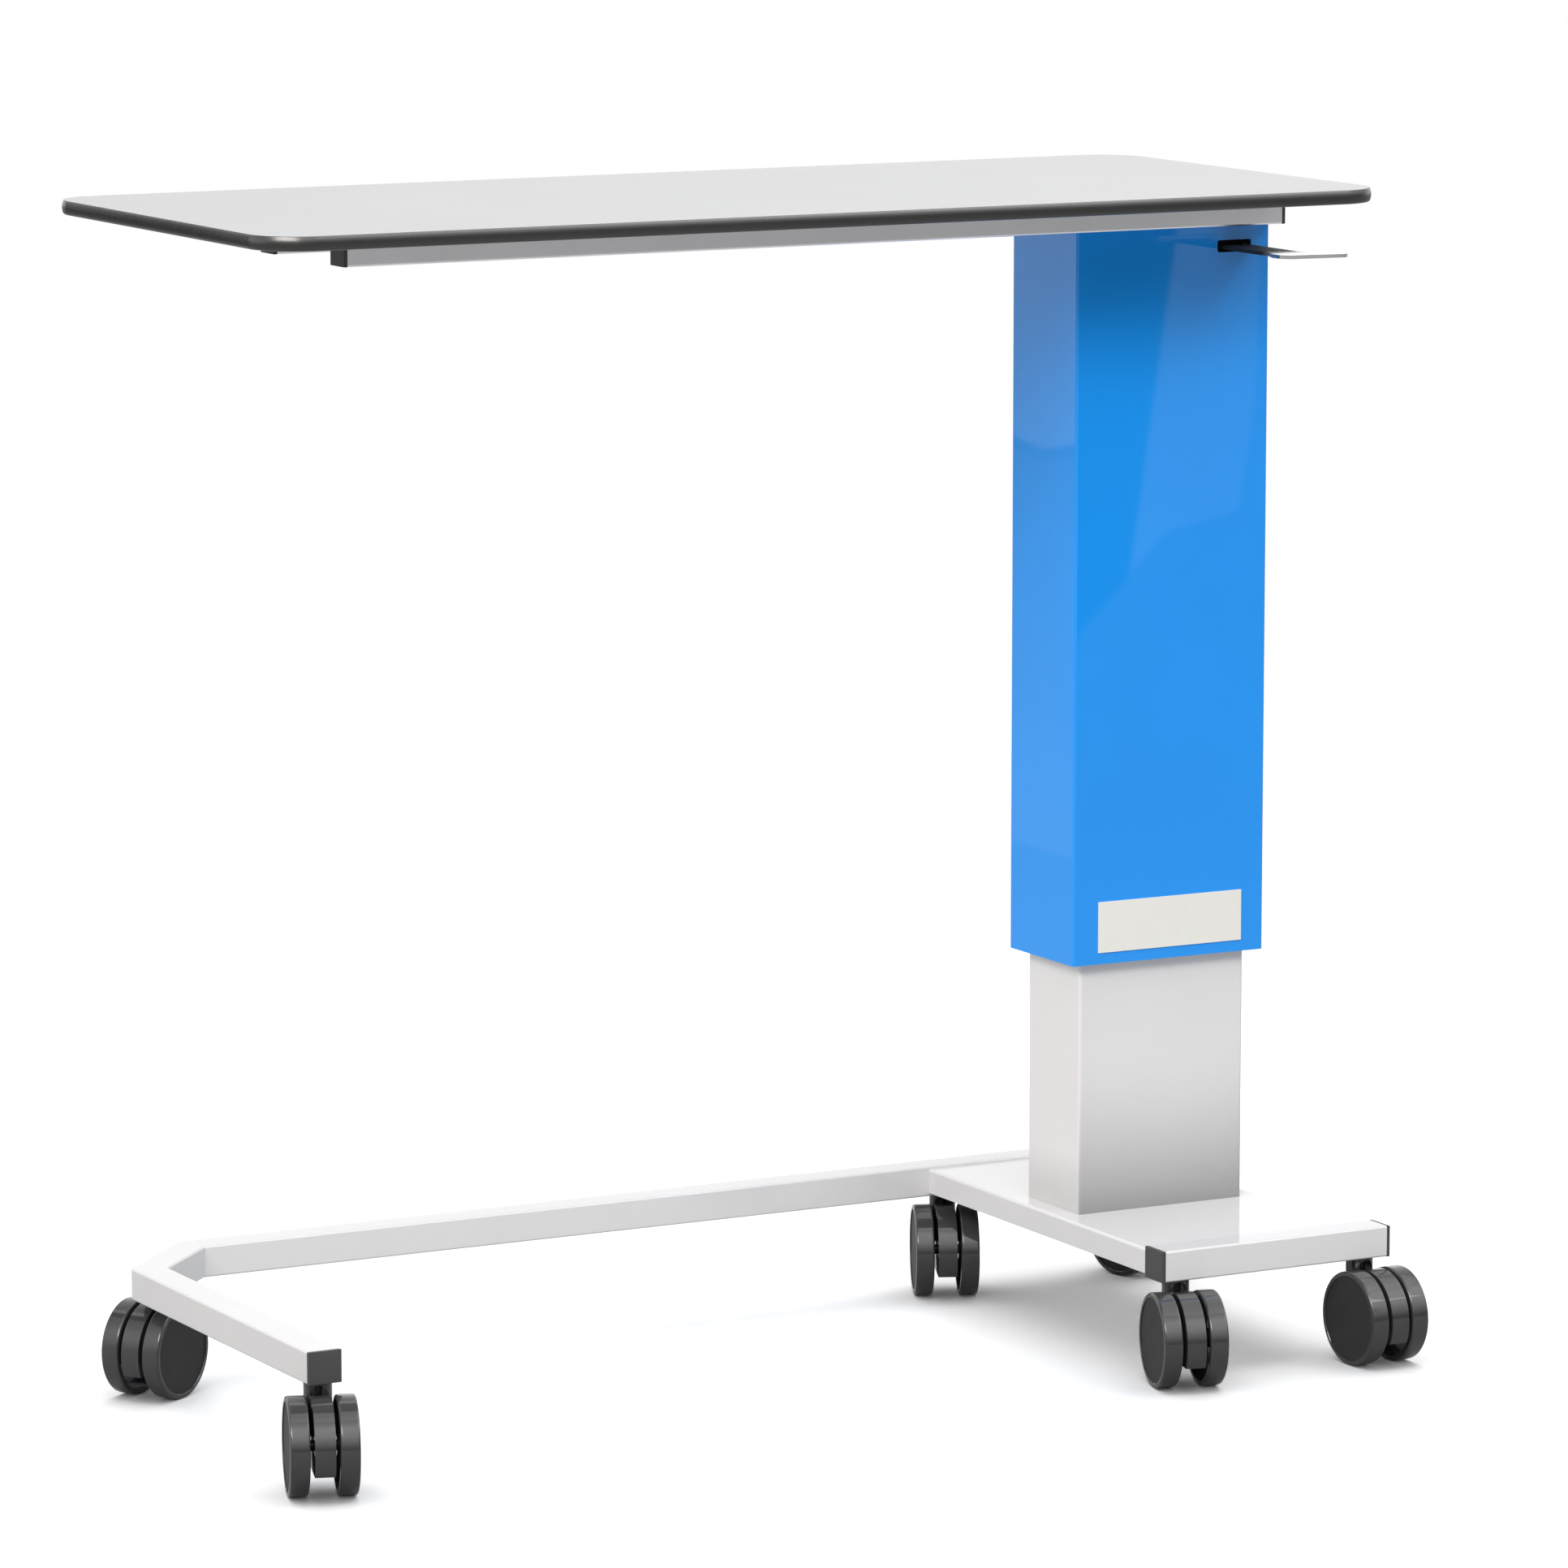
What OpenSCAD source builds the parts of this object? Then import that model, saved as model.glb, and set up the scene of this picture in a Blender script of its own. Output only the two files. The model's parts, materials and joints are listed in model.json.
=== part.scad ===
// Overbed table: a tabletop on two rails, carried by a sleeve that slides on a column.
// The column stands on a C-shaped base with six twin-wheel casters.
// Millimetres, +Z up, floor at z = 0. Modules draw around the column's centre line, and
// every node is then moved so that the origin is under the middle of the whole table.

/* [Tabletop] */
// Length of the tabletop surface, left to right
top_len = 950; // [850:5:1050]
// Width of the tabletop surface, front to back
top_wid = 410; // [380:5:460]
// Thickness of the tabletop
top_thk = 11; // [10:0.5:18]
// Plan radius of the tabletop corners
top_corner_r = 38; // [20:1:70]
// How far the tabletop reaches past the column's centre on its short side
top_short_side = 100.5; // [90:0.5:140]
// Bulge of the moulded edge beyond the surface
edge_bulge = 1.2; // [0.6:0.1:2]
// Height of the tabletop surface above the floor, as stored
rest_height = 929.5; // [900:0.5:960]

/* [Rails] */
// Width of each rail under the tabletop
rail_w = 24; // [20:0.5:30]
// Height of each rail
rail_h = 25.5; // [22:0.5:32]
// Length of each rail with its end caps
rail_len = 819; // [700:1:840]
// Wall of the rail tube
rail_wall = 1.5; // [1.2:0.1:2.5]

/* [Sleeve and column] */
// Width of the outer sleeve
sleeve_w = 176; // [170:0.5:184]
// Depth of the outer sleeve
sleeve_d = 101; // [96:0.5:108]
// Length of the outer sleeve
sleeve_len = 610.5; // [600:0.5:620]
// Wall of the outer sleeve
sleeve_wall = 2; // [1.5:0.1:2.5]
// Width of the inner column
col_w = 152; // [148:0.5:156]
// Depth of the inner column
col_d = 81; // [78:0.5:84]
// Length of the inner column
col_len = 536; // [500:1:540]
// Wall of the inner column
col_wall = 2.5; // [2:0.1:3]
// Clearance of each glide ring on the wall that it slides on
glide_gap = 0.1; // [0.1:0.05:0.3]
// Height of each glide ring
glide_h = 40; // [25:1:50]

/* [Base] */
// Width of the base tubes
tube_w = 27; // [24:0.5:32]
// Height of the base tubes
tube_h = 25; // [22:0.5:30]
// Wall of the base tubes
tube_wall = 2; // [1.5:0.1:3]
// Underside of the base tubes above the floor
tube_z = 81; // [80:0.5:84]
// Depth of the base over its front and rear tubes
base_d = 400; // [370:2:440]
// Distance from the column's centre to the outer face of the foot tube
foot_reach = 826; // [760:2:860]
// Distance from the column's centre to the right ends of the tubes
base_right = 117; // [112:1:130]
// Distance from the column's centre to the left end of the front tube
front_left = 93; // [88:1:110]
// Leg of the 45 degree corner, along the tube centre lines
corner_leg = 64; // [40:1:90]
// Thickness of the visible flange of an end cap
cap_t = 3; // [2:0.5:4]
// Depth of the base pan
pan_h = 20; // [18:0.5:22]
// Step from the tube tops down to the pan
pan_step = 2; // [1:0.5:3]
// Sheet thickness of the base pan
pan_t = 3; // [2:0.5:4]

/* [Casters] */
// Radius of the caster wheels
wheel_r = 37.5; // [36:0.5:39]
// Width of one wheel
wheel_w = 15; // [13:0.5:16]
// Width over both wheels
caster_w = 52; // [50:0.5:56]
// Width of the hood between the wheels
hood_w = 15.5; // [13:0.5:17]
// Distance from the swivel axis to the axle
trail = 24; // [22:0.5:26]
// Diameter of the hood's neck
neck_d = 21.5; // [18:0.5:21.5]
// Height of the hood's lower edge above the floor
hood_clear = 21; // [12:0.5:24]

/* [Release lever] */
// Width of the lever strip
strip_w = 26; // [20:1:28]
// Thickness of the lever strip
strip_t = 3; // [2:0.5:4]
// Height of the shaft that the lever turns on
shaft_z = 874; // [872:0.5:876]
// Distance of the shaft in front of the column's centre
shaft_front = 28; // [24:1:30]

/* [Hidden] */
$fn = 96;
eps = 0.01;
cut = 1;
run_fit = 0.05;

// Heights
top_under = rest_height - top_thk;
rail_z = top_under - rail_h;
sleeve_z = top_under - sleeve_len;
tube_top = tube_z + tube_h;
pan_top = tube_top - pan_step;
col_top = pan_top + col_len;

// Tabletop: board, laminate and moulded edge
top_left = top_len - top_short_side;
edge_w = 4;
lam_t = 0.8;
lam_inset = 0.4;
edge_arc_r = top_thk * top_thk / (8 * edge_bulge) + edge_bulge / 2;
edge_low_r = 2.5;
// The lower round touches the bulge from inside and crosses it by a hair where they meet
edge_lap = 0.02;
edge_low_drop = top_thk / 2 - edge_low_r;
edge_low_x = edge_bulge - edge_arc_r + edge_lap
    + sqrt(pow(edge_arc_r - edge_low_r, 2) - pow(edge_low_drop, 2));
edge_low_top = top_thk / 2 - edge_low_drop * edge_arc_r / (edge_arc_r - edge_low_r);

// Rails and their fasteners
rail_y = sleeve_d / 2;
rail_right = sleeve_w / 2;
rail_left = rail_len - rail_right;
screw_r = 2;
screw_head_r = 4;
screw_head_h = 2.5;
screw_bite = 7;
screw_access_r = 6;
screw_x = [-650, -400, -150];
bolt_r = 3;
bolt_head_r = 5;
bolt_head_h = 4;
insert_r = 4.5;
insert_len = 9;
bolt_reach = 8;
bolt_x = 60;
fin_len = 10;
fin_t = 2;

// Sleeve and column
sleeve_in_w = sleeve_w - 2 * sleeve_wall;
sleeve_in_d = sleeve_d - 2 * sleeve_wall;
sleeve_r = 2;
col_r = 2.5;
mouth_recess = 4;
slot_w = 31;
slot_h = 9.6;
slot_x = 55.8;
slot_z = shaft_z + 1.2;
slot_r = 2;
label_w = 132.6;
label_h = 41;
label_x = 0.9;
label_z = sleeve_z + 9.2;
label_t = 1;

// Column foot and its bolts
foot_t = 8;
bar_w = 30;
bar_t = 6;
foot_bolt_r = 4;
foot_bolt_x = 55;
foot_bolt_y = 24;
foot_head_r = 7.5;
foot_head_h = 5.3;
foot_bolt_clear = 0.5;

// Gas spring
cyl_r = 14;
cyl_wall = 1;
cyl_floor = 6;
cyl_z = pan_top + foot_t;
cyl_top = 590;
stud_r = 5;
stud_low = pan_top - 12;
nut_h_per_r = 1.6;
nut_r_per_r = 1.9;
gland_h = 16;
piston_z = 375;
piston_h = 14;
rod_r = 5;
rod_top = 860;
rod_collar_r = 8;
rod_collar_h = 4;
pin_r = 2;
pin_low = 815;
pin_gap = 0.3;
pin_dome_r = 6;
pin_bore_low = 806;

// Bracket under the rails that takes the rod and the lever shaft
web_z = 845;
web_t = 4;
web_front = 40;
web_rear = 25;
flange_t = 3;
flange_h = 31;
ear_t = 4;
ear_r = 10;
ear_left_x = -18;
ear_right_x = 76;
shaft_r = 4;
clip_r = 7;
clip_t = 1.2;
clip_gap = 0.3;
shaft_end = 2;
hub_r = 7;
finger_w = 16;
finger_reach = 6;
strip_x = 58;
strip_front = 130;
paddle_x = strip_x - strip_w / 2;
// Outline of the paddle, measured from the strip's left front corner
PADDLE = [
    [0, 10], [-5, -3], [-4, -14], [2, -20], [47, -26],
    [51, -24], [52, -15], [47, -11], [36, -6], [strip_w, 8],
];

// Tubes of the base
rear_y = base_d / 2 - tube_w / 2;
foot_x = -(foot_reach - tube_w / 2);
tube_in = base_d / 2 - tube_w;
mitre = tube_w / 2 * tan(22.5);
mitre_in = (tube_w / 2 - tube_wall) * tan(22.5);
half_in = tube_w / 2 - tube_wall;

// Casters: each entry is [x, y, angle of the axle from +X]
stem_in = 20;
stem_r = 5.5;
stem_low = 52;
thread_r = 4;
stem_top = tube_z + 12;
caster_left_x = -front_left + stem_in;
caster_right_x = base_right - stem_in;
CASTERS = [
    [foot_x, -rear_y, -19.5],
    [caster_left_x, -rear_y, -14.5],
    [caster_right_x, -rear_y, 1],
    [caster_right_x, rear_y, 12],
    [caster_left_x, rear_y, -24.5],
    [foot_x + corner_leg / 2, rear_y - corner_leg / 2, -56],
];
neck_gap = 0.5;
neck_low = 40;
hood_r = wheel_r - 0.7;
hood_lead_z = 40;
hood_lead_y = 8;
axle_r = 4;
axle_half = caster_w / 2 - 4.3;
axle_blind = 4;
boss_r = 8;
boss_gap = 0.3;
rim_t = 4;
rim_edge_r = 1.8;
disc_t = 2.5;
disc_recess = 1;
arch_r = 6.5;
arch_z = tube_z - 8;
arch_depth = 6;

// How far a caster's wheels reach from the column's centre along X and Y
function caster_mid(c) = [c[0] + trail * sin(c[2]), c[1] - trail * cos(c[2])];
function half_x(c) = (wheel_r - rim_edge_r) * abs(sin(c[2]))
    + (caster_w / 2 - rim_edge_r) * abs(cos(c[2])) + rim_edge_r;
function half_y(c) = (wheel_r - rim_edge_r) * abs(cos(c[2]))
    + (caster_w / 2 - rim_edge_r) * abs(sin(c[2])) + rim_edge_r;

x_low = min(-top_left - edge_bulge, min([for (c = CASTERS) caster_mid(c)[0] - half_x(c)]));
x_high = max(top_short_side + edge_bulge, max([for (c = CASTERS) caster_mid(c)[0] + half_x(c)]));
y_low = min(-top_wid / 2 - edge_bulge, min([for (c = CASTERS) caster_mid(c)[1] - half_y(c)]));
y_high = max(top_wid / 2 + edge_bulge, max([for (c = CASTERS) caster_mid(c)[1] + half_y(c)]));
middle = [(x_low + x_high) / 2, (y_low + y_high) / 2, 0];

// ---- Shared shapes ----

// Moves a node from the column's centre line to the table's own origin
module place() {
    translate(-middle) children();
}

// Box between two corners
module block(low, high) {
    translate(low) cube(high - low);
}

// Flat rectangle with round corners, centred
module round_rect(w, d, r) {
    square([w - 2 * r, d], center = true);
    square([w, d - 2 * r], center = true);
    for (sx = [-1, 1], sy = [-1, 1])
        translate([sx * (w / 2 - r), sy * (d / 2 - r)]) circle(r);
}

// Upright rectangular ring with round outer corners
module ring(w, d, r, wall, z, h) {
    translate([0, 0, z]) linear_extrude(h) difference() {
        round_rect(w, d, r);
        square([w - 2 * wall, d - 2 * wall], center = true);
    }
}

// Rectangular tube along X from x0 to x1, standing on z and centred on y
module tube_x(x0, x1, y, z, w, h, wall) {
    translate([x0, y, z + h / 2]) rotate([90, 0, 90]) linear_extrude(x1 - x0) difference() {
        square([w, h], center = true);
        square([w - 2 * wall, h - 2 * wall], center = true);
    }
}

// End cap on a tube end that faces +X: a flange with two fins that grip the side walls
module end_cap(w, h, wall) {
    translate([0, -w / 2, 0]) cube([cap_t, w, h]);
    for (s = [-1, 1]) translate([-fin_len, s * (w / 2 - wall - fin_t / 2) - fin_t / 2, wall])
        cube([fin_len + eps, fin_t, h - 2 * wall]);
}

// Hole right through a plate of height h that stands on z = 0
module bore(h, r) {
    translate([0, 0, -cut]) cylinder(h = h + 2 * cut, r = r);
}

// Cylinder along +X
module rod_x(x0, x1, y, z, r) {
    translate([x0, y, z]) rotate([0, 90, 0]) cylinder(h = x1 - x0, r = r);
}

// Hexagonal nut standing on z, for a thread of radius r
module nut(z, r) {
    translate([0, 0, z]) difference() {
        cylinder(h = nut_h_per_r * r, r = nut_r_per_r * r, $fn = 6);
        bore(nut_h_per_r * r, r);
    }
}

// Places children at caster i, turned to its swivel angle
module at_caster(i) {
    translate([CASTERS[i][0], CASTERS[i][1], 0]) rotate([0, 0, CASTERS[i][2]]) children();
}

// ---- Tabletop ----

// Centres children on the tabletop in plan
module on_top(z) {
    translate([(top_short_side - top_left) / 2, 0, z]) children();
}

// Section of the moulded edge: x grows outwards from the surface's outline
module edge_section() {
    difference() {
        intersection() {
            translate([-edge_w, 0]) square([edge_w + edge_bulge + cut, top_thk]);
            translate([edge_bulge - edge_arc_r, top_thk / 2]) circle(edge_arc_r);
        }
        translate([-edge_w - cut, top_thk - lam_t]) square([edge_w + cut - lam_inset, lam_t + cut]);
        difference() {
            translate([edge_low_x, -cut]) square([edge_low_r + edge_bulge + cut, edge_low_top + cut]);
            translate([edge_low_x, edge_low_r]) circle(edge_low_r);
        }
    }
}

// Quarter turn of the moulded edge
module edge_corner() {
    rotate_extrude(angle = 90) translate([top_corner_r, 0]) edge_section();
}

module tabletop_edge() {
    half_l = top_len / 2 - top_corner_r;
    half_w = top_wid / 2 - top_corner_r;
    color([0.24, 0.24, 0.23]) place() on_top(top_under) {
        for (side = [0, 180]) rotate([0, 0, side]) {
            translate([-half_l, top_wid / 2, 0]) rotate([90, 0, 90])
                linear_extrude(2 * half_l) edge_section();
            translate([top_len / 2, half_w, 0]) rotate([90, 0, 0])
                linear_extrude(2 * half_w) edge_section();
            translate([half_l, half_w, 0]) edge_corner();
            translate([-half_l, half_w, 0]) rotate([0, 0, 90]) edge_corner();
        }
    }
}

module tabletop_board() {
    color([0.72, 0.6, 0.45]) place() difference() {
        on_top(top_under) linear_extrude(top_thk - lam_t)
            round_rect(top_len - 2 * edge_w, top_wid - 2 * edge_w, top_corner_r - edge_w);
        each_screw() translate([0, 0, top_under - cut]) cylinder(h = screw_bite + cut, r = screw_r);
    }
}

module tabletop_laminate() {
    color([0.88, 0.88, 0.89]) place() on_top(rest_height - lam_t) linear_extrude(lam_t)
        round_rect(top_len - 2 * lam_inset, top_wid - 2 * lam_inset, top_corner_r - lam_inset);
}

// Places children at each tabletop screw
module each_screw() {
    for (x = screw_x, s = [-1, 1]) translate([x, s * (rail_y + rail_w / 2), 0]) children();
}

module tabletop_screws() {
    color([0.7, 0.7, 0.72]) place() each_screw() {
        translate([0, 0, top_under - rail_wall - screw_head_h]) cylinder(h = screw_head_h, r = screw_head_r);
        translate([0, 0, top_under - rail_wall - eps])
            cylinder(h = rail_wall + screw_bite + eps, r = screw_r);
    }
}

// ---- Rails ----

// One rail on side s of the sleeve: -1 is the front, 1 is the rear
module rail(s) {
    y = s * (rail_y + rail_w / 2);
    difference() {
        tube_x(-rail_left + cap_t, rail_right - cap_t, y, rail_z, rail_w, rail_h, rail_wall);
        each_screw() {
            translate([0, 0, top_under - rail_wall]) bore(rail_wall, screw_r);
            translate([0, 0, rail_z]) bore(rail_wall, screw_access_r);
        }
        each_bolt() bore(rail_wall, insert_r);
    }
}

// Places children at each rail bolt, with +Z pointing from the sleeve's face into the rail
module each_bolt() {
    for (x = [-bolt_x, bolt_x], s = [-1, 1])
        translate([x, s * rail_y, rail_z + rail_h / 2]) rotate([-s * 90, 0, 0]) children();
}

module front_rail() {
    color([0.64, 0.64, 0.65]) place() rail(-1);
}

module rear_rail() {
    color([0.64, 0.64, 0.65]) place() rail(1);
}

module rail_end_caps() {
    color([0.27, 0.27, 0.27]) place() for (s = [-1, 1]) translate([0, s * (rail_y + rail_w / 2), rail_z]) {
        translate([rail_right - cap_t, 0, 0]) end_cap(rail_w, rail_h, rail_wall);
        translate([-rail_left + cap_t, 0, 0]) mirror([1, 0, 0]) end_cap(rail_w, rail_h, rail_wall);
    }
}

module rail_inserts() {
    color([0.75, 0.75, 0.76]) place() each_bolt() difference() {
        cylinder(h = insert_len, r = insert_r);
        bore(insert_len, bolt_r);
    }
}

module rail_bolts() {
    color([0.6, 0.6, 0.62]) place() each_bolt() {
        translate([0, 0, -sleeve_wall - bolt_head_h]) cylinder(h = bolt_head_h, r = bolt_head_r);
        translate([0, 0, -sleeve_wall - eps]) cylinder(h = sleeve_wall + bolt_reach, r = bolt_r);
    }
}

// ---- Sleeve ----

module sleeve() {
    color([0.15, 0.57, 0.92]) place() difference() {
        ring(sleeve_w, sleeve_d, sleeve_r, sleeve_wall, sleeve_z, sleeve_len);
        translate([slot_x, -sleeve_d / 2 - cut, slot_z]) rotate([-90, 0, 0])
            linear_extrude(sleeve_wall + 2 * cut) round_rect(slot_w, slot_h, slot_r);
        each_bolt() translate([0, 0, -sleeve_wall]) bore(sleeve_wall, bolt_r);
    }
}

module sleeve_glides() {
    color([0.9, 0.9, 0.88]) place() translate([0, 0, sleeve_z + mouth_recess]) linear_extrude(glide_h)
        difference() {
            square([sleeve_in_w, sleeve_in_d], center = true);
            round_rect(col_w + 2 * glide_gap, col_d + 2 * glide_gap, col_r);
        }
}

module label_plate() {
    color([0.93, 0.93, 0.91]) place() translate([label_x - label_w / 2, -sleeve_d / 2 - label_t, label_z])
        cube([label_w, label_t, label_h]);
}

// Bracket welded across the sleeve: it takes the rod's end and carries the lever shaft
module head_bracket() {
    half_w = sleeve_in_w / 2;
    color([0.5, 0.5, 0.52]) place() difference() {
        union() {
            block([-half_w, -web_front, web_z], [half_w, web_rear, web_z + web_t]);
            for (s = [-1, 1]) mirror([(1 - s) / 2, 0, 0])
                block([half_w - flange_t, -web_front, web_z], [half_w, web_rear, web_z + web_t + flange_h]);
            for (x = [ear_left_x, ear_right_x]) {
                block([x, -shaft_front - ear_r, web_z], [x + ear_t, -shaft_front + ear_r, shaft_z]);
                rod_x(x, x + ear_t, -shaft_front, shaft_z, ear_r);
            }
        }
        rod_x(ear_left_x - cut, ear_right_x + ear_t + cut, -shaft_front, shaft_z, shaft_r + run_fit);
        translate([0, 0, web_z]) bore(web_t, rod_r);
    }
}

// ---- Release lever ----

module lever_shaft() {
    color([0.7, 0.7, 0.72]) place()
        rod_x(ear_left_x - shaft_end, ear_right_x + ear_t + shaft_end, -shaft_front, shaft_z, shaft_r);
}

module shaft_clips() {
    color([0.35, 0.35, 0.36]) place() difference() {
        for (x = [ear_left_x - clip_gap - clip_t, ear_right_x + ear_t + clip_gap])
            rod_x(x, x + clip_t, -shaft_front, shaft_z, clip_r);
        rod_x(ear_left_x - 2 * clip_r, ear_right_x + 2 * clip_r, -shaft_front, shaft_z, shaft_r);
    }
}

// Hub welded round the shaft, with an arm level with it
module hub_arm(x0, x1, y0, y1) {
    difference() {
        union() {
            rod_x(x0, x1, -shaft_front, shaft_z, hub_r);
            block([x0, y0, shaft_z - strip_t / 2], [x1, y1, shaft_z + strip_t / 2]);
        }
        rod_x(x0 - cut, x1 + cut, -shaft_front, shaft_z, shaft_r);
    }
}

module release_lever() {
    color([0.8, 0.8, 0.82]) place() {
        hub_arm(paddle_x, paddle_x + strip_w, -strip_front + eps, -shaft_front + hub_r);
        translate([paddle_x, -strip_front, shaft_z - strip_t / 2]) linear_extrude(strip_t) polygon(PADDLE);
    }
}

module lever_finger() {
    color([0.6, 0.6, 0.62]) place() hub_arm(-finger_w / 2, finger_w / 2, -shaft_front, finger_reach);
}

module release_pin() {
    top = shaft_z - strip_t / 2 - pin_gap;
    color([0.75, 0.75, 0.76]) place() intersection() {
        translate([0, 0, pin_low]) cylinder(h = top - pin_low, r = pin_r);
        union() {
            translate([0, 0, top - pin_dome_r]) sphere(pin_dome_r);
            translate([0, 0, pin_low]) cylinder(h = top - pin_dome_r - pin_low, r = pin_dome_r);
        }
    }
}

// ---- Gas spring ----

module piston_rod() {
    color([0.82, 0.82, 0.84]) place() difference() {
        union() {
            translate([0, 0, piston_z]) cylinder(h = rod_top - piston_z, r = rod_r);
            translate([0, 0, web_z - rod_collar_h]) cylinder(h = rod_collar_h, r = rod_collar_r);
        }
        translate([0, 0, pin_bore_low]) cylinder(h = rod_top - pin_bore_low + cut, r = pin_r + run_fit);
    }
}

module piston() {
    color([0.4, 0.4, 0.42]) place() translate([0, 0, piston_z]) difference() {
        cylinder(h = piston_h, r = cyl_r - cyl_wall - run_fit);
        bore(piston_h, rod_r);
    }
}

module rod_nut() {
    color([0.7, 0.7, 0.72]) place() nut(web_z + web_t, rod_r);
}

module gas_cylinder() {
    color([0.15, 0.15, 0.16]) place() {
        difference() {
            translate([0, 0, cyl_z]) cylinder(h = cyl_top - cyl_z, r = cyl_r);
            translate([0, 0, cyl_z + cyl_floor]) cylinder(h = cyl_top - cyl_z, r = cyl_r - cyl_wall);
        }
        translate([0, 0, stud_low]) cylinder(h = cyl_z - stud_low + eps, r = stud_r);
    }
}

module gas_gland() {
    color([0.3, 0.3, 0.31]) place() translate([0, 0, cyl_top - gland_h]) difference() {
        cylinder(h = gland_h, r = cyl_r - cyl_wall);
        bore(gland_h, rod_r + run_fit);
    }
}

// ---- Column ----

module column() {
    color([0.9, 0.9, 0.91]) place() ring(col_w, col_d, col_r, col_wall, pan_top, col_len);
}

module column_glides() {
    color([0.9, 0.9, 0.88]) place() translate([0, 0, col_top - glide_h]) linear_extrude(glide_h)
        difference() {
            square([sleeve_in_w - 2 * glide_gap, sleeve_in_d - 2 * glide_gap], center = true);
            round_rect(col_w, col_d, col_r);
        }
}

// Places children at each bolt of the column foot
module each_foot_bolt() {
    for (sx = [-1, 1], sy = [-1, 1]) translate([sx * foot_bolt_x, sy * foot_bolt_y, 0]) children();
}

module column_foot() {
    inner = [col_w - 2 * col_wall, col_d - 2 * col_wall, foot_t];
    color([0.5, 0.5, 0.52]) place() translate([0, 0, pan_top]) difference() {
        translate([-inner[0] / 2, -inner[1] / 2, 0]) cube(inner);
        each_foot_bolt() bore(foot_t, foot_bolt_r);
        bore(foot_t, stud_r);
    }
}

module foot_bolts() {
    under = pan_top - pan_t - bar_t;
    color([0.6, 0.6, 0.62]) place() each_foot_bolt() {
        translate([0, 0, under - foot_head_h]) cylinder(h = foot_head_h, r = foot_head_r, $fn = 6);
        translate([0, 0, under - eps]) cylinder(h = pan_top + foot_t - under, r = foot_bolt_r);
    }
}

// ---- Base ----

// Folded sheet between the front and rear tubes, with a flange down each side
module base_pan() {
    bend_r = 2.5;
    color([0.95, 0.95, 0.95]) place() difference() {
        translate([0, tube_in, pan_top - pan_h]) rotate([90, 0, 0]) linear_extrude(2 * tube_in) difference() {
            translate([0, pan_h / 2 - bend_r]) round_rect(2 * front_left, pan_h + 2 * bend_r, bend_r);
            translate([-front_left - cut, -3 * bend_r]) square([2 * (front_left + cut), 3 * bend_r]);
            translate([-front_left + pan_t, -cut]) square([2 * (front_left - pan_t), pan_h - pan_t + cut]);
        }
        translate([0, 0, pan_top - pan_t]) {
            each_foot_bolt() bore(pan_t, foot_bolt_r + foot_bolt_clear);
            bore(pan_t, stud_r);
        }
    }
}

// Flat bars under the pan that spread the column's load to the two tubes
module base_bars() {
    color([0.5, 0.5, 0.52]) place() difference() {
        for (s = [-1, 1])
            block([s * foot_bolt_x - bar_w / 2, -tube_in, pan_top - pan_t - bar_t],
                [s * foot_bolt_x + bar_w / 2, tube_in, pan_top - pan_t]);
        translate([0, 0, pan_top - pan_t - bar_t])
            each_foot_bolt() bore(bar_t, foot_bolt_r + foot_bolt_clear);
    }
}

// Holes for the caster stems in the underside of a tube
module stem_holes() {
    for (i = [0:5]) at_caster(i) translate([0, 0, tube_z]) bore(tube_wall, thread_r);
}

module front_tube() {
    color([0.93, 0.93, 0.94]) place() difference() {
        tube_x(-front_left + cap_t, base_right - cap_t, -rear_y, tube_z, tube_w, tube_h, tube_wall);
        stem_holes();
    }
}

// Hollow tube standing on tube_z, from its outer and inner plan outlines
module plan_tube(outer, inner) {
    translate([0, 0, tube_z]) difference() {
        linear_extrude(tube_h) polygon(outer);
        translate([0, 0, tube_wall]) linear_extrude(tube_h - 2 * tube_wall) polygon(inner);
    }
}

// Plan of a tube run with mitred ends: half its width to each side of the line from x0 to x1,
// where m0 and m1 slope the two ends
function run(x0, x1, half, m0, m1) = [[x0 - m0, half], [x1 + m1, half], [x1 - m1, -half], [x0 + m0, -half]];

module rear_tube() {
    x0 = foot_x + corner_leg;
    x1 = base_right - cap_t;
    color([0.93, 0.93, 0.94]) place() difference() {
        translate([0, rear_y, 0]) plan_tube(
            run(x0, x1, tube_w / 2, mitre, 0), run(x0 - cut, x1 + cut, half_in, mitre_in, 0));
        stem_holes();
    }
}

module corner_tube() {
    len = corner_leg * sqrt(2);
    color([0.93, 0.93, 0.94]) place() difference() {
        translate([foot_x, rear_y - corner_leg, 0]) rotate([0, 0, 45]) plan_tube(
            run(0, len, tube_w / 2, mitre, mitre),
            run(-cut, len + cut, half_in, mitre_in, mitre_in));
        stem_holes();
    }
}

module foot_tube() {
    len = rear_y - corner_leg + base_d / 2 - cap_t;
    color([0.93, 0.93, 0.94]) place() difference() {
        translate([foot_x, -base_d / 2 + cap_t, 0]) rotate([0, 0, 90]) plan_tube(
            run(0, len, tube_w / 2, 0, mitre), run(-cut, len + cut, half_in, 0, mitre_in));
        stem_holes();
    }
}

// End cap of a base tube
module tube_cap() {
    end_cap(tube_w, tube_h, tube_wall);
}

module tube_end_caps() {
    color([0.27, 0.27, 0.27]) place() {
        for (s = [-1, 1]) translate([base_right - cap_t, s * rear_y, tube_z]) tube_cap();
        translate([-front_left + cap_t, -rear_y, tube_z]) mirror([1, 0, 0]) tube_cap();
        translate([foot_x, -base_d / 2 + cap_t, tube_z]) rotate([0, 0, -90]) tube_cap();
    }
}

// ---- Casters ----

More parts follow.
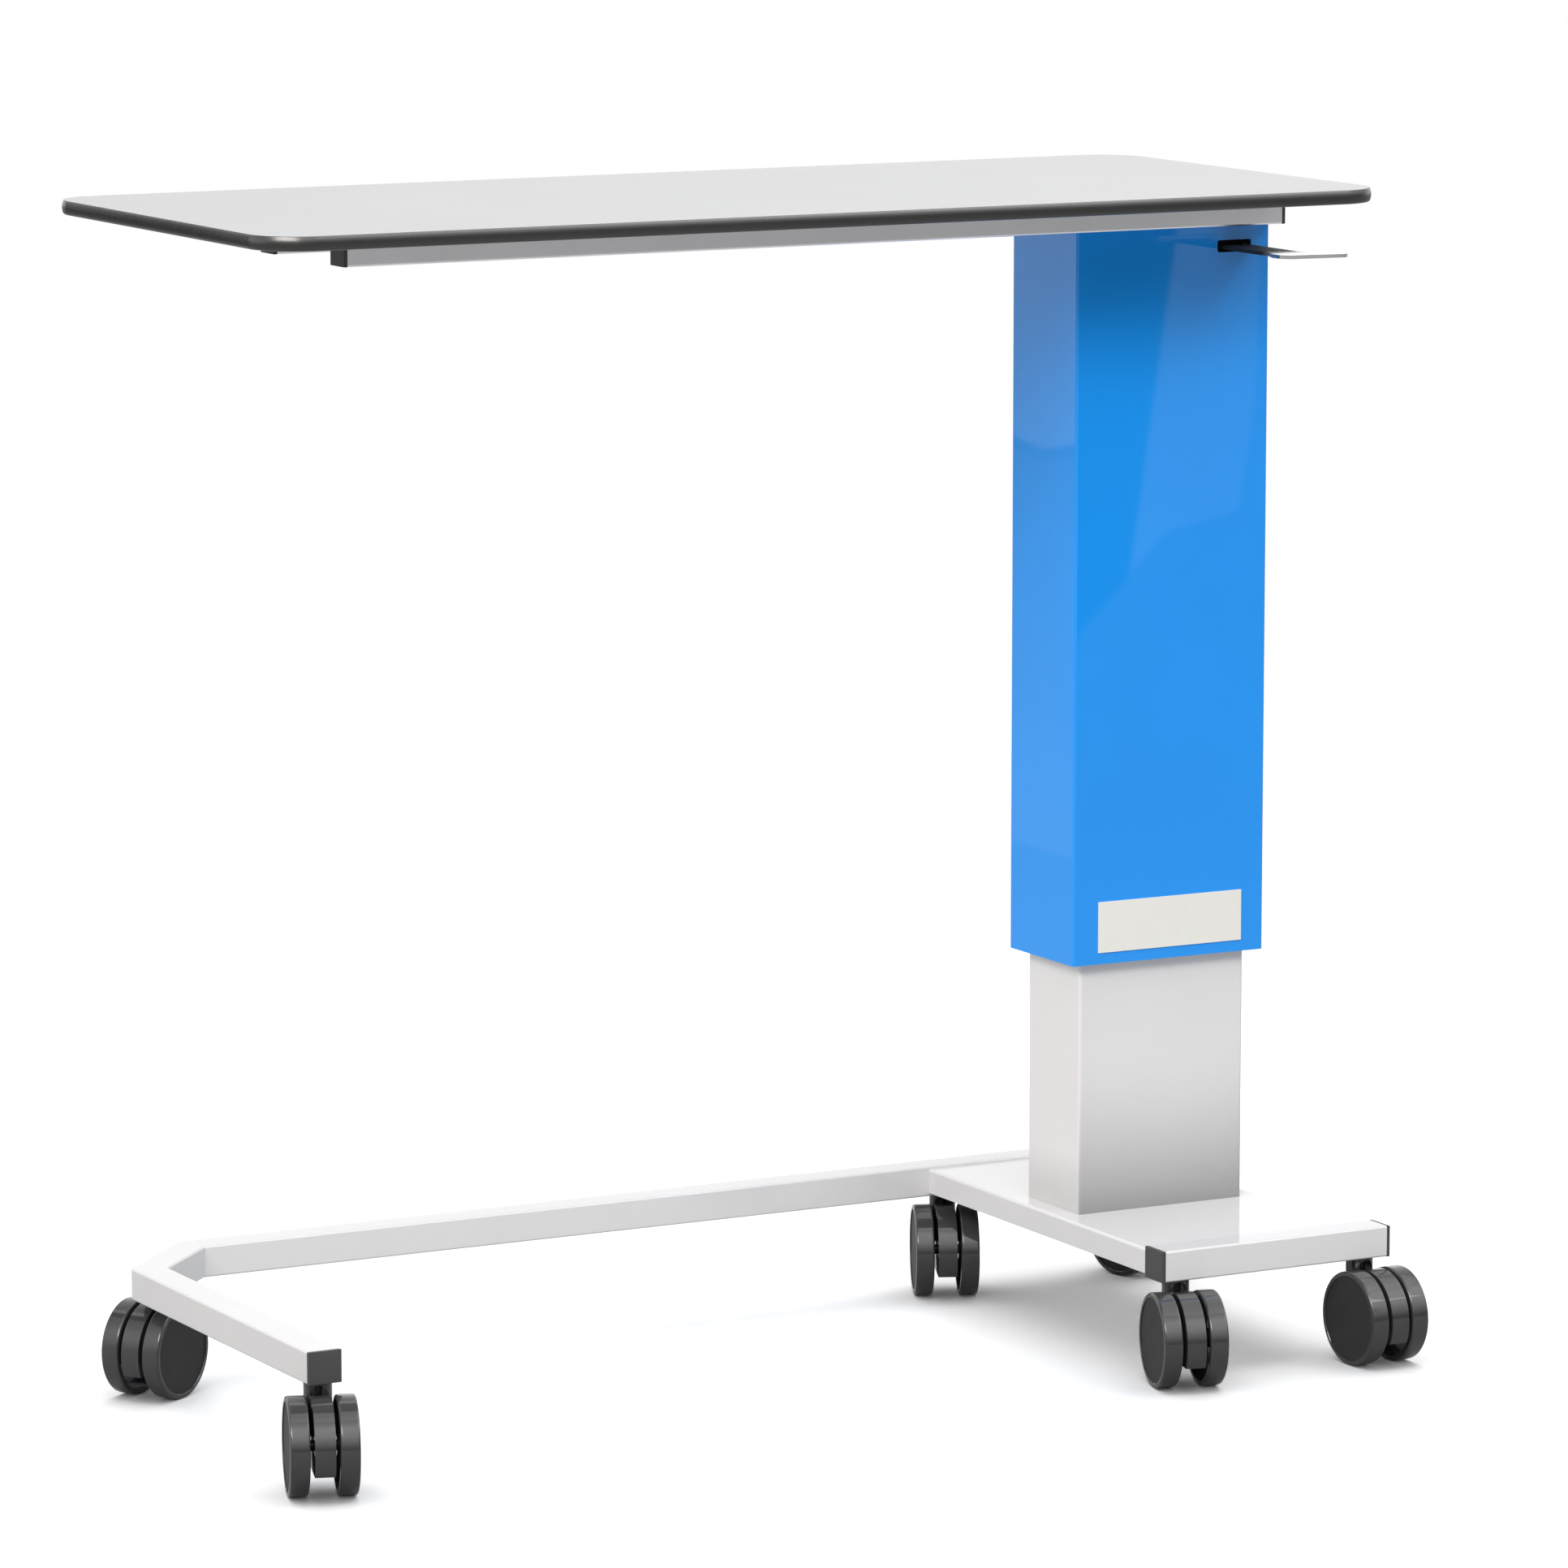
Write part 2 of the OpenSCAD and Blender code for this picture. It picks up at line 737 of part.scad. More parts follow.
module caster_stems() {
    color([0.6, 0.6, 0.62]) place() for (i = [0:5]) at_caster(i) {
        translate([0, 0, stem_low]) cylinder(h = tube_z - stem_low, r = stem_r);
        translate([0, 0, tube_z - eps]) cylinder(h = stem_top - tube_z + eps, r = thread_r);
    }
}

// A nut on each caster stem, inside its tube, and one on the gas spring's stud
module base_nuts() {
    color([0.7, 0.7, 0.72]) place() {
        for (i = [0:5]) at_caster(i) nut(tube_z + tube_wall, thread_r);
        nut(pan_top - pan_t - nut_h_per_r * stud_r, stud_r);
    }
}

// Moulded body that swivels on the stem: a web between the wheels, and a round neck with an arch
module hood(i) {
    boss_half = caster_w / 2 - wheel_w - boss_gap;
    reach = 3 * wheel_r;
    color([0.25, 0.25, 0.26]) place() at_caster(i) difference() {
        union() {
            difference() {
                rod_x(-hood_w / 2, hood_w / 2, -trail, wheel_r, hood_r);
                block([-hood_w, -reach, -cut], [hood_w, reach, hood_clear]);
                block([-hood_w, -trail + hood_lead_y, -cut], [hood_w, reach, hood_lead_z]);
            }
            rod_x(-boss_half, boss_half, -trail, wheel_r, boss_r);
            difference() {
                translate([0, 0, neck_low]) cylinder(h = tube_z - neck_gap - neck_low, d = neck_d);
                translate([0, -neck_d / 2 + arch_depth - neck_d, arch_z]) rotate([-90, 0, 0])
                    cylinder(h = neck_d, r = arch_r);
            }
        }
        translate([0, 0, stem_low - cut]) cylinder(h = tube_z - stem_low + cut, r = stem_r + run_fit);
        rod_x(-caster_w, caster_w, -trail, wheel_r, axle_r);
    }
}

module axle(i) {
    color([0.7, 0.7, 0.72]) place() at_caster(i) rod_x(-axle_half, axle_half, -trail, wheel_r, axle_r);
}

// Half section of a wheel: x is the radius, y runs from the inner to the outer face
module wheel_section() {
    difference() {
        union() {
            translate([wheel_r - rim_t, 0]) square([rim_t - rim_edge_r, wheel_w]);
            translate([wheel_r - rim_t, rim_edge_r]) square([rim_t, wheel_w - 2 * rim_edge_r]);
            for (y = [rim_edge_r, wheel_w - rim_edge_r])
                translate([wheel_r - rim_edge_r, y]) circle(rim_edge_r);
            translate([0, wheel_w - disc_recess - disc_t]) square([wheel_r - rim_t + eps, disc_t]);
            square([boss_r, wheel_w - disc_recess]);
        }
        translate([-cut, -cut]) square([axle_r + run_fit + cut, wheel_w - axle_blind + cut]);
    }
}

// One wheel of caster i on side s: -1 is the left one, 1 is the right one
module wheel(i, s) {
    color([0.25, 0.25, 0.26]) place() at_caster(i) mirror([(1 - s) / 2, 0, 0])
        translate([caster_w / 2 - wheel_w, -trail, wheel_r]) rotate([0, 90, 0])
            rotate_extrude() wheel_section();
}

// ---- Nodes ----

tabletop_board();
tabletop_laminate();
tabletop_edge();
tabletop_screws();
front_rail();
rear_rail();
rail_end_caps();
rail_bolts();
rail_inserts();
sleeve();
sleeve_glides();
label_plate();
head_bracket();
release_lever();
lever_shaft();
lever_finger();
shaft_clips();
release_pin();
piston_rod();
piston();
rod_nut();
gas_cylinder();
gas_gland();
column();
column_glides();
column_foot();
foot_bolts();
base_pan();
base_bars();
front_tube();
rear_tube();
corner_tube();
foot_tube();
tube_end_caps();
caster_stems();
base_nuts();
hood(0);  // hood_1
axle(0);  // axle_1
wheel(0, -1);  // left_wheel_1
wheel(0, 1);  // right_wheel_1
hood(1);  // hood_2
axle(1);  // axle_2
wheel(1, -1);  // left_wheel_2
wheel(1, 1);  // right_wheel_2
hood(2);  // hood_3
axle(2);  // axle_3
wheel(2, -1);  // left_wheel_3
wheel(2, 1);  // right_wheel_3
hood(3);  // hood_4
axle(3);  // axle_4
wheel(3, -1);  // left_wheel_4
wheel(3, 1);  // right_wheel_4
hood(4);  // hood_5
axle(4);  // axle_5
wheel(4, -1);  // left_wheel_5
wheel(4, 1);  // right_wheel_5
hood(5);  // hood_6
axle(5);  // axle_6
wheel(5, -1);  // left_wheel_6
wheel(5, 1);  // right_wheel_6
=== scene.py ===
# %% [markdown]
# # An overbed table
# The table is a long white top on a blue sleeve and a white column, over a C-shaped base of
# tube with six twin-wheel casters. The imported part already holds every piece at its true
# size and place, so this lesson only dresses it. Pieces that show are modelled again with
# eased edges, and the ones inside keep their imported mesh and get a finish.

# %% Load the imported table
import json
from contextlib import contextmanager
from math import asin, cos, pi, radians, sin, tan

import bmesh
import bpy
from mathutils import Matrix, Vector


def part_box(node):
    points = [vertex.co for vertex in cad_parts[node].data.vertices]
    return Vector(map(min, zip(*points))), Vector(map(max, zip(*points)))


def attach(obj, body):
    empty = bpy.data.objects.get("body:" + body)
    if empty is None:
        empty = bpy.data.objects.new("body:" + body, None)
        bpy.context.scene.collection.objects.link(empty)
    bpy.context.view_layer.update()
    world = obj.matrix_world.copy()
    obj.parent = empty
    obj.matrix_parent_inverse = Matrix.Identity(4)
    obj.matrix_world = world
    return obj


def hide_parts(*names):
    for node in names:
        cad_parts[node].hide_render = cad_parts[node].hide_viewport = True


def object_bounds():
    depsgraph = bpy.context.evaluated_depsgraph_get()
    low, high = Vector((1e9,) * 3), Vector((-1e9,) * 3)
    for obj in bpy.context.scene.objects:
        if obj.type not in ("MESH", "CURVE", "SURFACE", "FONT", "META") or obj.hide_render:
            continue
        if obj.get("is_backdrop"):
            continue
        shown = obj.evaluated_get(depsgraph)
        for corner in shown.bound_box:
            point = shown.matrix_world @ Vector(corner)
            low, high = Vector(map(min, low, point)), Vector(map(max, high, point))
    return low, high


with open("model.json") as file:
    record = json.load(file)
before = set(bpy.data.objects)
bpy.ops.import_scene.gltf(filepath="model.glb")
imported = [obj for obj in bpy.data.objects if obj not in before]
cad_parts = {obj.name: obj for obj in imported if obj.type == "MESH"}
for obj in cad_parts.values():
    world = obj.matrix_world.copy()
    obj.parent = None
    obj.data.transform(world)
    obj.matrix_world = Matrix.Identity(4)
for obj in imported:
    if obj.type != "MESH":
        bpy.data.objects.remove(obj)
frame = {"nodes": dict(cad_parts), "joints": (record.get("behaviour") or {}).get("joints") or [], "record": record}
cad_low, cad_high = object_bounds()
MM = 0.001
print("packed box in mm:", [round(v / MM, 1) for v in cad_high - cad_low])

# %% [markdown]
# ## The camera
# A long lens from far away keeps upright edges upright, as a product view should. The
# camera stands left of the open side and a little above the top, and it aims close to the
# middle of the table, so the frame needs no shift.

# %% Camera
AZIMUTH = radians(-28.2)
ELEVATION = radians(8.91)
DISTANCE = 6.061
AIM_OFFSET = Vector((0.0127, -0.0289, 0.0095))

camera = bpy.data.objects.new("camera", bpy.data.cameras.new("camera"))
bpy.context.scene.collection.objects.link(camera)
bpy.context.scene.camera = camera
back = Vector((sin(AZIMUTH) * cos(ELEVATION), -cos(AZIMUTH) * cos(ELEVATION), sin(ELEVATION)))
camera.rotation_mode = "QUATERNION"
camera.rotation_quaternion = (-back).to_track_quat("-Z", "Y")
camera.location = (cad_low + cad_high) / 2 + AIM_OFFSET + back * DISTANCE
camera.data.lens = 179.67
camera.data.sensor_width = 36
camera.data.clip_end = 200
bpy.context.scene.view_settings.view_transform = "Standard"
print("camera at", [round(v, 3) for v in camera.location])

# %% [markdown]
# ## Writing shaders as sums
# A material is a graph of nodes, and long graphs are hard to read in code. The class Wire
# holds one socket and knows how to add, subtract and multiply, so that a mask reads as a
# sum. Recipe makes all other nodes: first the settings, then the sockets.

# %% Wires and recipes
MIX_FIRST, MIX_SECOND, MIX_RESULT = 6, 7, 2


class Wire:
    """One output socket, ready to stand in a sum."""

    def __init__(self, recipe, socket):
        self.recipe = recipe
        self.socket = socket

    def also(self, name):
        """Another output of the same node."""
        return Wire(self.recipe, self.socket.node.outputs[name])

    def join(self, operation, first, second):
        return self.recipe.node("Math", {"operation": operation}, {0: first, 1: second})

    def __add__(self, other):
        return self.join("ADD", self, other)

    def __mul__(self, other):
        return self.join("MULTIPLY", self, other)

    def __sub__(self, other):
        return self.join("SUBTRACT", self, other)

    def __rsub__(self, other):
        return self.join("SUBTRACT", other, self)

    __radd__ = __add__
    __rmul__ = __mul__


class Recipe:
    """The node tree of a material or of the world."""

    def __init__(self, owner):
        owner.use_nodes = True
        self.tree = owner.node_tree
        self.tree.nodes.clear()

    def node(self, kind, settings=None, sockets=None, output=0):
        made = self.tree.nodes.new("ShaderNode" + kind)
        for name, value in (settings or {}).items():
            if name == "stops":
                self.set_stops(made.color_ramp, value)
            else:
                setattr(made, name, value)
        for name, value in (sockets or {}).items():
            if isinstance(value, Wire):
                self.tree.links.new(value.socket, made.inputs[name])
            else:
                made.inputs[name].default_value = value
        return Wire(self, made.outputs[output]) if made.outputs else None

    def set_stops(self, ramp, stops):
        while len(ramp.elements) < len(stops):
            ramp.elements.new(1)
        for element, (position, colour) in zip(ramp.elements, stops):
            element.position = position
            element.color = (*colour, 1)

    def ramp(self, factor, *stops):
        return self.node("ValToRGB", {"stops": stops}, {"Fac": factor})

    def step(self, value, low, high):
        """0 below low, 1 above high and smooth between them."""
        sockets = {"Value": value, "From Min": low, "From Max": high}
        return self.node("MapRange", {"interpolation_type": "SMOOTHSTEP"}, sockets)

    def part(self, vector, axis):
        return self.node("SeparateXYZ", sockets={"Vector": vector}, output=axis)

    def blend(self, factor, first, second):
        sockets = {0: factor, MIX_FIRST: first, MIX_SECOND: second}
        return self.node("Mix", {"data_type": "RGBA"}, sockets, MIX_RESULT)


def grey(value):
    return (value, value, value)


# %% [markdown]
# ## The studio
# The floor and the background are plain white to the camera. What shiny faces mirror is a
# separate matter: in front stands a bright window above eye level, which fades downward to
# a dark line at the horizon, and behind the table all is pale. The Light Path node tells
# the kinds of ray apart, so each gets its own sky.

# %% World
DOME = 0.40
SIDE_BLUR = 0.3


def make_world():
    world = bpy.data.worlds.new("studio")
    bpy.context.scene.world = world
    recipe = Recipe(world)
    is_camera = recipe.node("LightPath", output="Is Camera Ray")
    is_clear = is_camera.also("Is Transmission Ray")
    is_glossy = is_camera.also("Is Glossy Ray")
    way = recipe.node("TexCoord", output="Generated")
    along, up = recipe.part(way, "Y"), recipe.part(way, "Z")
    front = recipe.ramp(
        up, (0.0, grey(0.1)), (0.10, grey(0.3)), (0.20, grey(0.9)), (0.55, grey(2.8)),
        (0.77, grey(3.2)), (0.92, grey(1.5)), (1.0, grey(0.8)))
    rear = recipe.ramp(up, (0.0, grey(1.45)), (1.0, grey(0.5)))
    mirrored = recipe.blend(recipe.step(along, -SIDE_BLUR, SIDE_BLUR), front, rear)
    lit = recipe.blend(is_glossy, (*grey(DOME), 1), mirrored)
    seen = recipe.blend(is_camera + is_clear, lit, (1, 1, 1, 1))
    background = recipe.node("Background", sockets={"Color": seen, "Strength": 1.0})
    recipe.node("OutputWorld", sockets={"Surface": background})
    print("world:", len(recipe.tree.nodes), "nodes")


make_world()

# %% [markdown]
# The floor is matt and pale, and the camera sees it brighter than the other rays do. So all
# but the deepest shade on it burns out to white, as on a lit sweep, and the shadow right
# under the base stays. Far from the table it turns into plain light: white to the camera,
# so that no horizon shows, and dimmer to the rest, as a real floor is away from the lamps.

# %% Floor
FLOOR_HALF = 30.0
FLOOR_ALBEDO = 0.92
FLOOR_GAIN = 2.35
SHINE_GAIN = 1.15
FAR_LIGHT = 0.20
FADE_FROM, FADE_TO = 1.2, 2.2
DIM_FROM, DIM_TO = 0.8, 4.5


def make_floor():
    """A matt sheet that fades to plain light far out."""
    bpy.ops.object.select_all(action="DESELECT")
    bpy.ops.mesh.primitive_plane_add(size=2 * FLOOR_HALF)
    floor = bpy.context.active_object
    floor.name = "floor"
    paint = bpy.data.materials.new("floor")
    recipe = Recipe(paint)
    is_camera = recipe.node("LightPath", output="Is Camera Ray")
    is_glossy = is_camera.also("Is Glossy Ray")
    gain = 1.0 + (FLOOR_GAIN - 1) * is_camera + (SHINE_GAIN - 1) * is_glossy
    matt = recipe.node("BsdfDiffuse", sockets={"Color": FLOOR_ALBEDO * gain})
    place = recipe.node("TexCoord", output="Object")
    reach = recipe.node("VectorMath", {"operation": "LENGTH"}, {0: place}, "Value")
    strength = FAR_LIGHT * (1.0 + is_glossy) + (1 - FAR_LIGHT) * is_camera
    glow = recipe.node("Emission", sockets={"Strength": strength})
    fade, dim = recipe.step(reach, FADE_FROM, FADE_TO), recipe.step(reach, DIM_FROM, DIM_TO)
    far = fade * is_camera + dim * (1.0 - is_camera)
    surface = recipe.node("MixShader", sockets={0: far, 1: matt, 2: glow})
    recipe.node("OutputMaterial", sockets={"Surface": surface})
    floor.data.materials.append(paint)
    floor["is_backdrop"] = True
    return floor


floor = make_floor()
print("floor:", floor.dimensions.x, "m wide")

# %% [markdown]
# A warm key light stands at the front left and a wide cooler one in front. Both are high
# enough to throw the shadow of the top down on the sleeve. A window at the right adds the
# sparkle on the right wheels, and a panel overhead lights all level faces. Flags keep the
# first three off the floor, and the key off the laminate too, which the others light
# enough. One fill is for the sides of sleeve, column and outer caster and one for the pan,
# which lies in the shade of the top, and each is aimed when its pieces are made. The front
# panel and the fills are hidden from glossy faces, where the sky does their work.

# %% Lamps
WARM = (1.0, 0.945, 0.90)
COOL = (0.95, 0.975, 1.0)
NEUTRAL = (1.0, 1.0, 1.0)
AIM = Vector((0.36, 0.0, 0.75))


def add_panel(name, bearing, height, distance, width, depth, radiance, colour):
    """An area lamp at those angles from the front, where radiance 1 is a white wall."""
    lamp = bpy.data.lights.new(name, "AREA")
    lamp.shape = "RECTANGLE"
    lamp.size, lamp.size_y = width, depth
    lamp.energy = radiance * pi * width * depth
    lamp.color = colour
    panel = bpy.data.objects.new(name, lamp)
    bpy.context.scene.collection.objects.link(panel)
    level = cos(radians(height))
    across, ahead = sin(radians(bearing)) * level, -cos(radians(bearing)) * level
    way = Vector((across, ahead, sin(radians(height))))
    panel.location = AIM + way * distance
    panel.rotation_mode = "QUATERNION"
    panel.rotation_quaternion = (-way).to_track_quat("-Z", "Y")
    panel.visible_camera = False
    print(f"{name}: {width} x {depth} m, {lamp.energy:.0f} W")
    return panel


def aim(panel, things, state):
    """Lets that lamp light all but those things, or those things alone."""
    group = bpy.data.collections.new(f"{panel.name} receivers")
    for thing in things:
        group.objects.link(thing)
    for member in group.collection_objects:
        member.light_linking.link_state = state
    panel.light_linking.receiver_collection = group


add_panel("overhead", 180, 84, 2.45, 4.4, 3.6, 0.84, NEUTRAL)
key = add_panel("left key", -55, 26, 4.0, 2.8, 1.2, 10.4, WARM)
front = add_panel("front", 4, 37, 4.0, 3.2, 1.0, 3.3, COOL)
window = add_panel("window", 32, 38, 4.0, 1.6, 1.2, 3.6, COOL)
for panel in (front, window):
    aim(panel, [floor], "EXCLUDE")
side_fill = add_panel("side fill", -98, 8, 4.0, 2.0, 1.6, 3.0, WARM)
pan_fill = add_panel("pan fill", -30, 50, 4.0, 1.6, 1.2, 4.6, NEUTRAL)
for panel in (front, side_fill, pan_fill):
    panel.visible_glossy = False

# %% [markdown]
# The sleeve is glossy, and what it mirrors makes its look: a white card and a black one
# stand before its front and two pale ones beside it. A mirror shows a card where the line of
# sight, bounced off the face, meets it. So each outline is chosen on the sleeve, and every
# corner is sent along that line to the card. A last card darkens the edge at the top's end.
# Only shiny faces see the cards.

# %% Cards
CARD_AWAY = 1.2
sleeve_low, sleeve_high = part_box("sleeve")
sleeve_mid = (sleeve_low + sleeve_high) / 2


def add_card(name, axis, below, above, corners, away=CARD_AWAY):
    """A flat light, as bright as that at its low and high end, that a face across that axis
    mirrors inside those corners."""
    points = []
    for corner in corners:
        sight = (corner - camera.location).normalized()
        sight[axis] *= -1
        points.append(corner + sight * away / abs(sight[axis]))
    mesh = bpy.data.meshes.new(name)
    mesh.from_pydata(points, [], [range(len(points))])
    card = bpy.data.objects.new(name, mesh)
    light = bpy.data.materials.new(name)
    recipe = Recipe(light)
    place = recipe.node("TexCoord", output="Object")
    heights = [point.z for point in points]
    climb = recipe.step(recipe.part(place, "Z"), min(heights), max(heights))
    shade = recipe.blend(climb, (*grey(below), 1), (*grey(above), 1))
    glow = recipe.node("Emission", sockets={"Color": shade})
    recipe.node("OutputMaterial", sockets={"Surface": glow})
    mesh.materials.append(light)
    bpy.context.scene.collection.objects.link(card)
    card.visible_camera = card.visible_diffuse = card.visible_shadow = False
    card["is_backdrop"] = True
    print(f"{name}: {len(points)} corners, {min(heights):.2f} to {max(heights):.2f} m high")


def on_front(*places):
    """Places on the sleeve's front: across from its middle, and height, both in metres."""
    return [Vector((sleeve_mid.x + across, sleeve_low.y, height)) for across, height in places]


def on_left(*places):
    """Places on the sleeve's left side: depth and height, both in metres."""
    return [Vector((sleeve_low.x, across, height)) for across, height in places]


add_card("white card", 1, 0.74, 0.70, on_front(
    (0.008, 0.92), (0.082, 0.92), (0.077, 0.747), (0.062, 0.664), (-0.006, 0.651), (-0.039, 0.617)))
add_card("black card", 1, 0.05, 0.03, on_front(
    (-0.12, 0.92), (0.007, 0.92), (-0.040, 0.617), (-0.088, 0.571), (-0.12, 0.55)))
add_card("side card", 0, 0.82, 1.0, on_left(
    (sleeve_low.y - 0.03, 0.95), (sleeve_high.y + 0.03, 0.95),
    (sleeve_high.y + 0.03, 0.724), (sleeve_mid.y, 0.716), (sleeve_low.y - 0.03, 0.730)))
add_card("low side card", 0, 1.0, 0.5, on_left(
    (sleeve_low.y - 0.03, 0.720), (sleeve_mid.y, 0.706), (sleeve_high.y + 0.03, 0.714),
    (sleeve_high.y + 0.03, 0.10), (sleeve_low.y - 0.03, 0.10)))
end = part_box("tabletop_edge")[0]
steps = ((0, -0.1, 0.2), (0, 0.5, 0.2), (0, 0.5, -0.15), (0, -0.1, -0.15))
add_card("end card", 0, 0.05, 0.05, away=0.3, corners=[end + Vector(step) for step in steps])

# %% [markdown]
# ## Finishes
# Nothing on a real table is one flat colour. Powder coat has a fine orange peel, moulded
# plastic a soft grain and polished metal faint scratches, and all of them vary a little
# from place to place. Finish is a recipe around a Principled shader, with noise measured in
# metres on the piece, so that the grain has the same size on all pieces.

# %% Finish class
class Finish(Recipe):
    """A material for one slot of the part's record."""

    def __init__(self, slot):
        self.slot = slot
        FINISHES[slot] = bpy.data.materials.new(slot)
        super().__init__(FINISHES[slot])
        self.place = self.node("TexCoord", output="Object")

    def noise(self, size, detail=2.0, stretch=(1, 1, 1)):
        """Soft lumps of about that size in metres, longer where stretch is under 1."""
        scale = [part / size for part in stretch]
        where = self.node("Mapping", sockets={"Vector": self.place, "Scale": scale})
        return self.node("TexNoise", sockets={"Vector": where, "Scale": 1.0, "Detail": detail})

    def bump(self, height, depth):
        return self.node("Bump", sockets={"Height": height, "Distance": depth})

    def close(self, **sockets):
        named = {name.replace("_", " "): value for name, value in sockets.items()}
        surface = self.node("BsdfPrincipled", sockets=named)
        self.node("OutputMaterial", sockets={"Surface": surface})
        print(f"{self.slot}: {len(self.tree.nodes)} nodes")


FINISHES = {}


def around(colour, spread):
    """Two shades, a little darker and a little lighter than the colour."""
    return [(0.3, [c * (1 - spread) for c in colour]), (0.7, [c * (1 + spread) for c in colour])]


# %% [markdown]
# ### Painted steel
# Sleeve, column, rails and base are powder coated. Powder melts into a glossy skin that
# isn't quite flat: lumps a millimetre or so wide and a few thousandths of a millimetre high
# make its reflections tremble. The column's colour holds a painted shade: it darkens toward
# its foot, most of all on its front, where the pan blocks the light.

# %% Powder coats
FOOT_REACH = 0.135
PAINTED_FOOT_SHADE = 0.38


def powder_coat(name, colour, spread, roughness, peel, foot=None, **fixed):
    """Powder on steel. Its colour holds a painted shade that darkens toward a foot at that height, most on its
    front.
    """
    finish = Finish(name)
    shade = finish.ramp(finish.noise(0.09), *around(colour, spread))
    if foot is not None:
        # Painted shade: the colour darkens toward the foot, next to the pan, most on the front.
        above = finish.step(finish.part(finish.place, "Z"), foot - FOOT_REACH, foot + FOOT_REACH)
        sideways = finish.step(finish.part(finish.place.also("Normal"), "Y"), -0.9, -0.3)
        dark = [c * PAINTED_FOOT_SHADE for c in colour]
        shade = finish.blend(2.0 * above - 1.0 + 0.5 * sideways, (*dark, 1), shade)
    polish = roughness * (0.8 + 0.4 * finish.noise(0.03))
    skin = finish.bump(finish.noise(0.0022, detail=1.0), peel)
    finish.close(Base_Color=shade, Roughness=polish, Normal=skin, **fixed)


powder_coat("sleeve_paint", (0.013, 0.31, 0.92), 0.02, 0.03, 1e-6, IOR=1.5)
powder_coat("column_paint", (0.76, 0.76, 0.765), 0.012, 0.16, 2e-6, foot=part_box("base_pan")[1].z,
            IOR=1.5)
powder_coat("base_paint", (0.75, 0.75, 0.76), 0.012, 0.03, 1.5e-6, IOR=1.5)
powder_coat("rail_paint", (0.90, 0.90, 0.92), 0.03, 0.30, 3e-6, IOR=1.5, Metallic=0.9)
powder_coat("spring_black", (0.02, 0.02, 0.021), 0.15, 0.25, 4e-6, IOR=1.5)


# %% [markdown]
# ### Laminate
# The top is a satin sheet with a fine suede texture. Its colour hardly changes, but its
# sheen does, because hands and trays polish it.

# %% Laminate
def make_laminate():
    finish = Finish("laminate")
    shade = finish.ramp(finish.noise(0.14, detail=3.0), *around((0.655, 0.655, 0.661), 0.01))
    polish = 0.45 + 0.08 * finish.noise(0.06)
    suede = finish.bump(finish.noise(0.0007, detail=2.0), 3e-6)
    finish.close(Base_Color=shade, Roughness=polish, Normal=suede, IOR=1.45)


make_laminate()


# %% [markdown]
# ### Moulded plastic
# Edge, caps and casters are dark plastics that differ in gloss. The casters are nylon from a
# polished mould, with a matt disc in the wheel. One material does both: a glossy coat lies
# over a rough body, and an attribute on the faces of the disc takes the coat away.

# %% Plastics
MATT = "matt"


def moulded(name, colour, spread, roughness, grain, depth, coated=False, **fixed):
    finish = Finish(name)
    if coated:
        matt = finish.node("Attribute", {"attribute_name": MATT}, output="Fac")
        fixed["Coat_Weight"] = 1.0 - matt
    shade = finish.ramp(finish.noise(0.012, detail=3.0), *around(colour, spread))
    polish = roughness + 0.08 * finish.noise(0.009)
    skin = finish.bump(finish.noise(grain, detail=2.0), depth)
    finish.close(Base_Color=shade, Roughness=polish, Normal=skin, **fixed)


moulded("edge_moulding", (0.013, 0.013, 0.0125), 0.06, 0.24, 0.0012, 3e-6, IOR=1.7)
moulded("cap_plastic", (0.055, 0.055, 0.056), 0.05, 0.42, 0.0006, 8e-6, IOR=1.45)
moulded("caster_plastic", (0.030, 0.030, 0.031), 0.06, 0.45, 0.003, 2e-6, coated=True, IOR=1.25,
        Coat_Roughness=0.06, Coat_IOR=1.5)
moulded("label", (0.83, 0.83, 0.79), 0.01, 0.35, 0.0008, 2e-6, IOR=1.45)
moulded("glide_plastic", (0.78, 0.78, 0.73), 0.02, 0.45, 0.001, 5e-6, IOR=1.48)


# %% [markdown]
# ### Bare metal
# The rod is polished, and the screws and bars are plated or plain. Polishing leaves
# scratches in one direction, so the noise that breaks up the gloss is stretched. The lever
# is near black where it comes out of the sleeve and polished at the paddle, and the stems
# and axles of the casters, which share the steel of the screws, are near black low down too.

# %% Metals
BARE_TO, BLACK_FROM = -0.120, -0.085
BLACK_TO, ZINC_FROM = 0.09, 0.12
# The near black of the lever by the sleeve and of the low steel on the casters.
NEAR_BLACK = (*grey(0.02), 1)
SCRATCH = 0.0008


def bare_metal(name, colour, roughness, wobble, depth, stretch, black_low=False):
    finish = Finish(name)
    shade = finish.ramp(finish.noise(0.02, detail=3.0), *around(colour, 0.04))
    if black_low:
        up = finish.step(finish.part(finish.place, "Z"), BLACK_TO, ZINC_FROM)
        shade = finish.blend(up, NEAR_BLACK, shade)
    scratch = finish.noise(SCRATCH, detail=3.0, stretch=stretch)
    polish = roughness + wobble * scratch
    relief = finish.bump(scratch, depth)
    finish.close(Base_Color=shade, Roughness=polish, Normal=relief, Metallic=1.0)


def make_lever_metal():
    finish = Finish("lever_chrome")
    bare = 1.0 - finish.step(finish.part(finish.place, "Y"), BARE_TO, BLACK_FROM)
    scratch = finish.noise(SCRATCH, detail=3.0, stretch=(1, 0.05, 1))
    chrome = finish.ramp(scratch, *around((0.88, 0.88, 0.89), 0.03))
    shade = finish.blend(bare, NEAR_BLACK, chrome)
    polish = 0.6 - 0.5 * bare + 0.06 * scratch
    relief = finish.bump(scratch, 3e-7)
    finish.close(Base_Color=shade, Roughness=polish, Metallic=bare, Normal=relief)


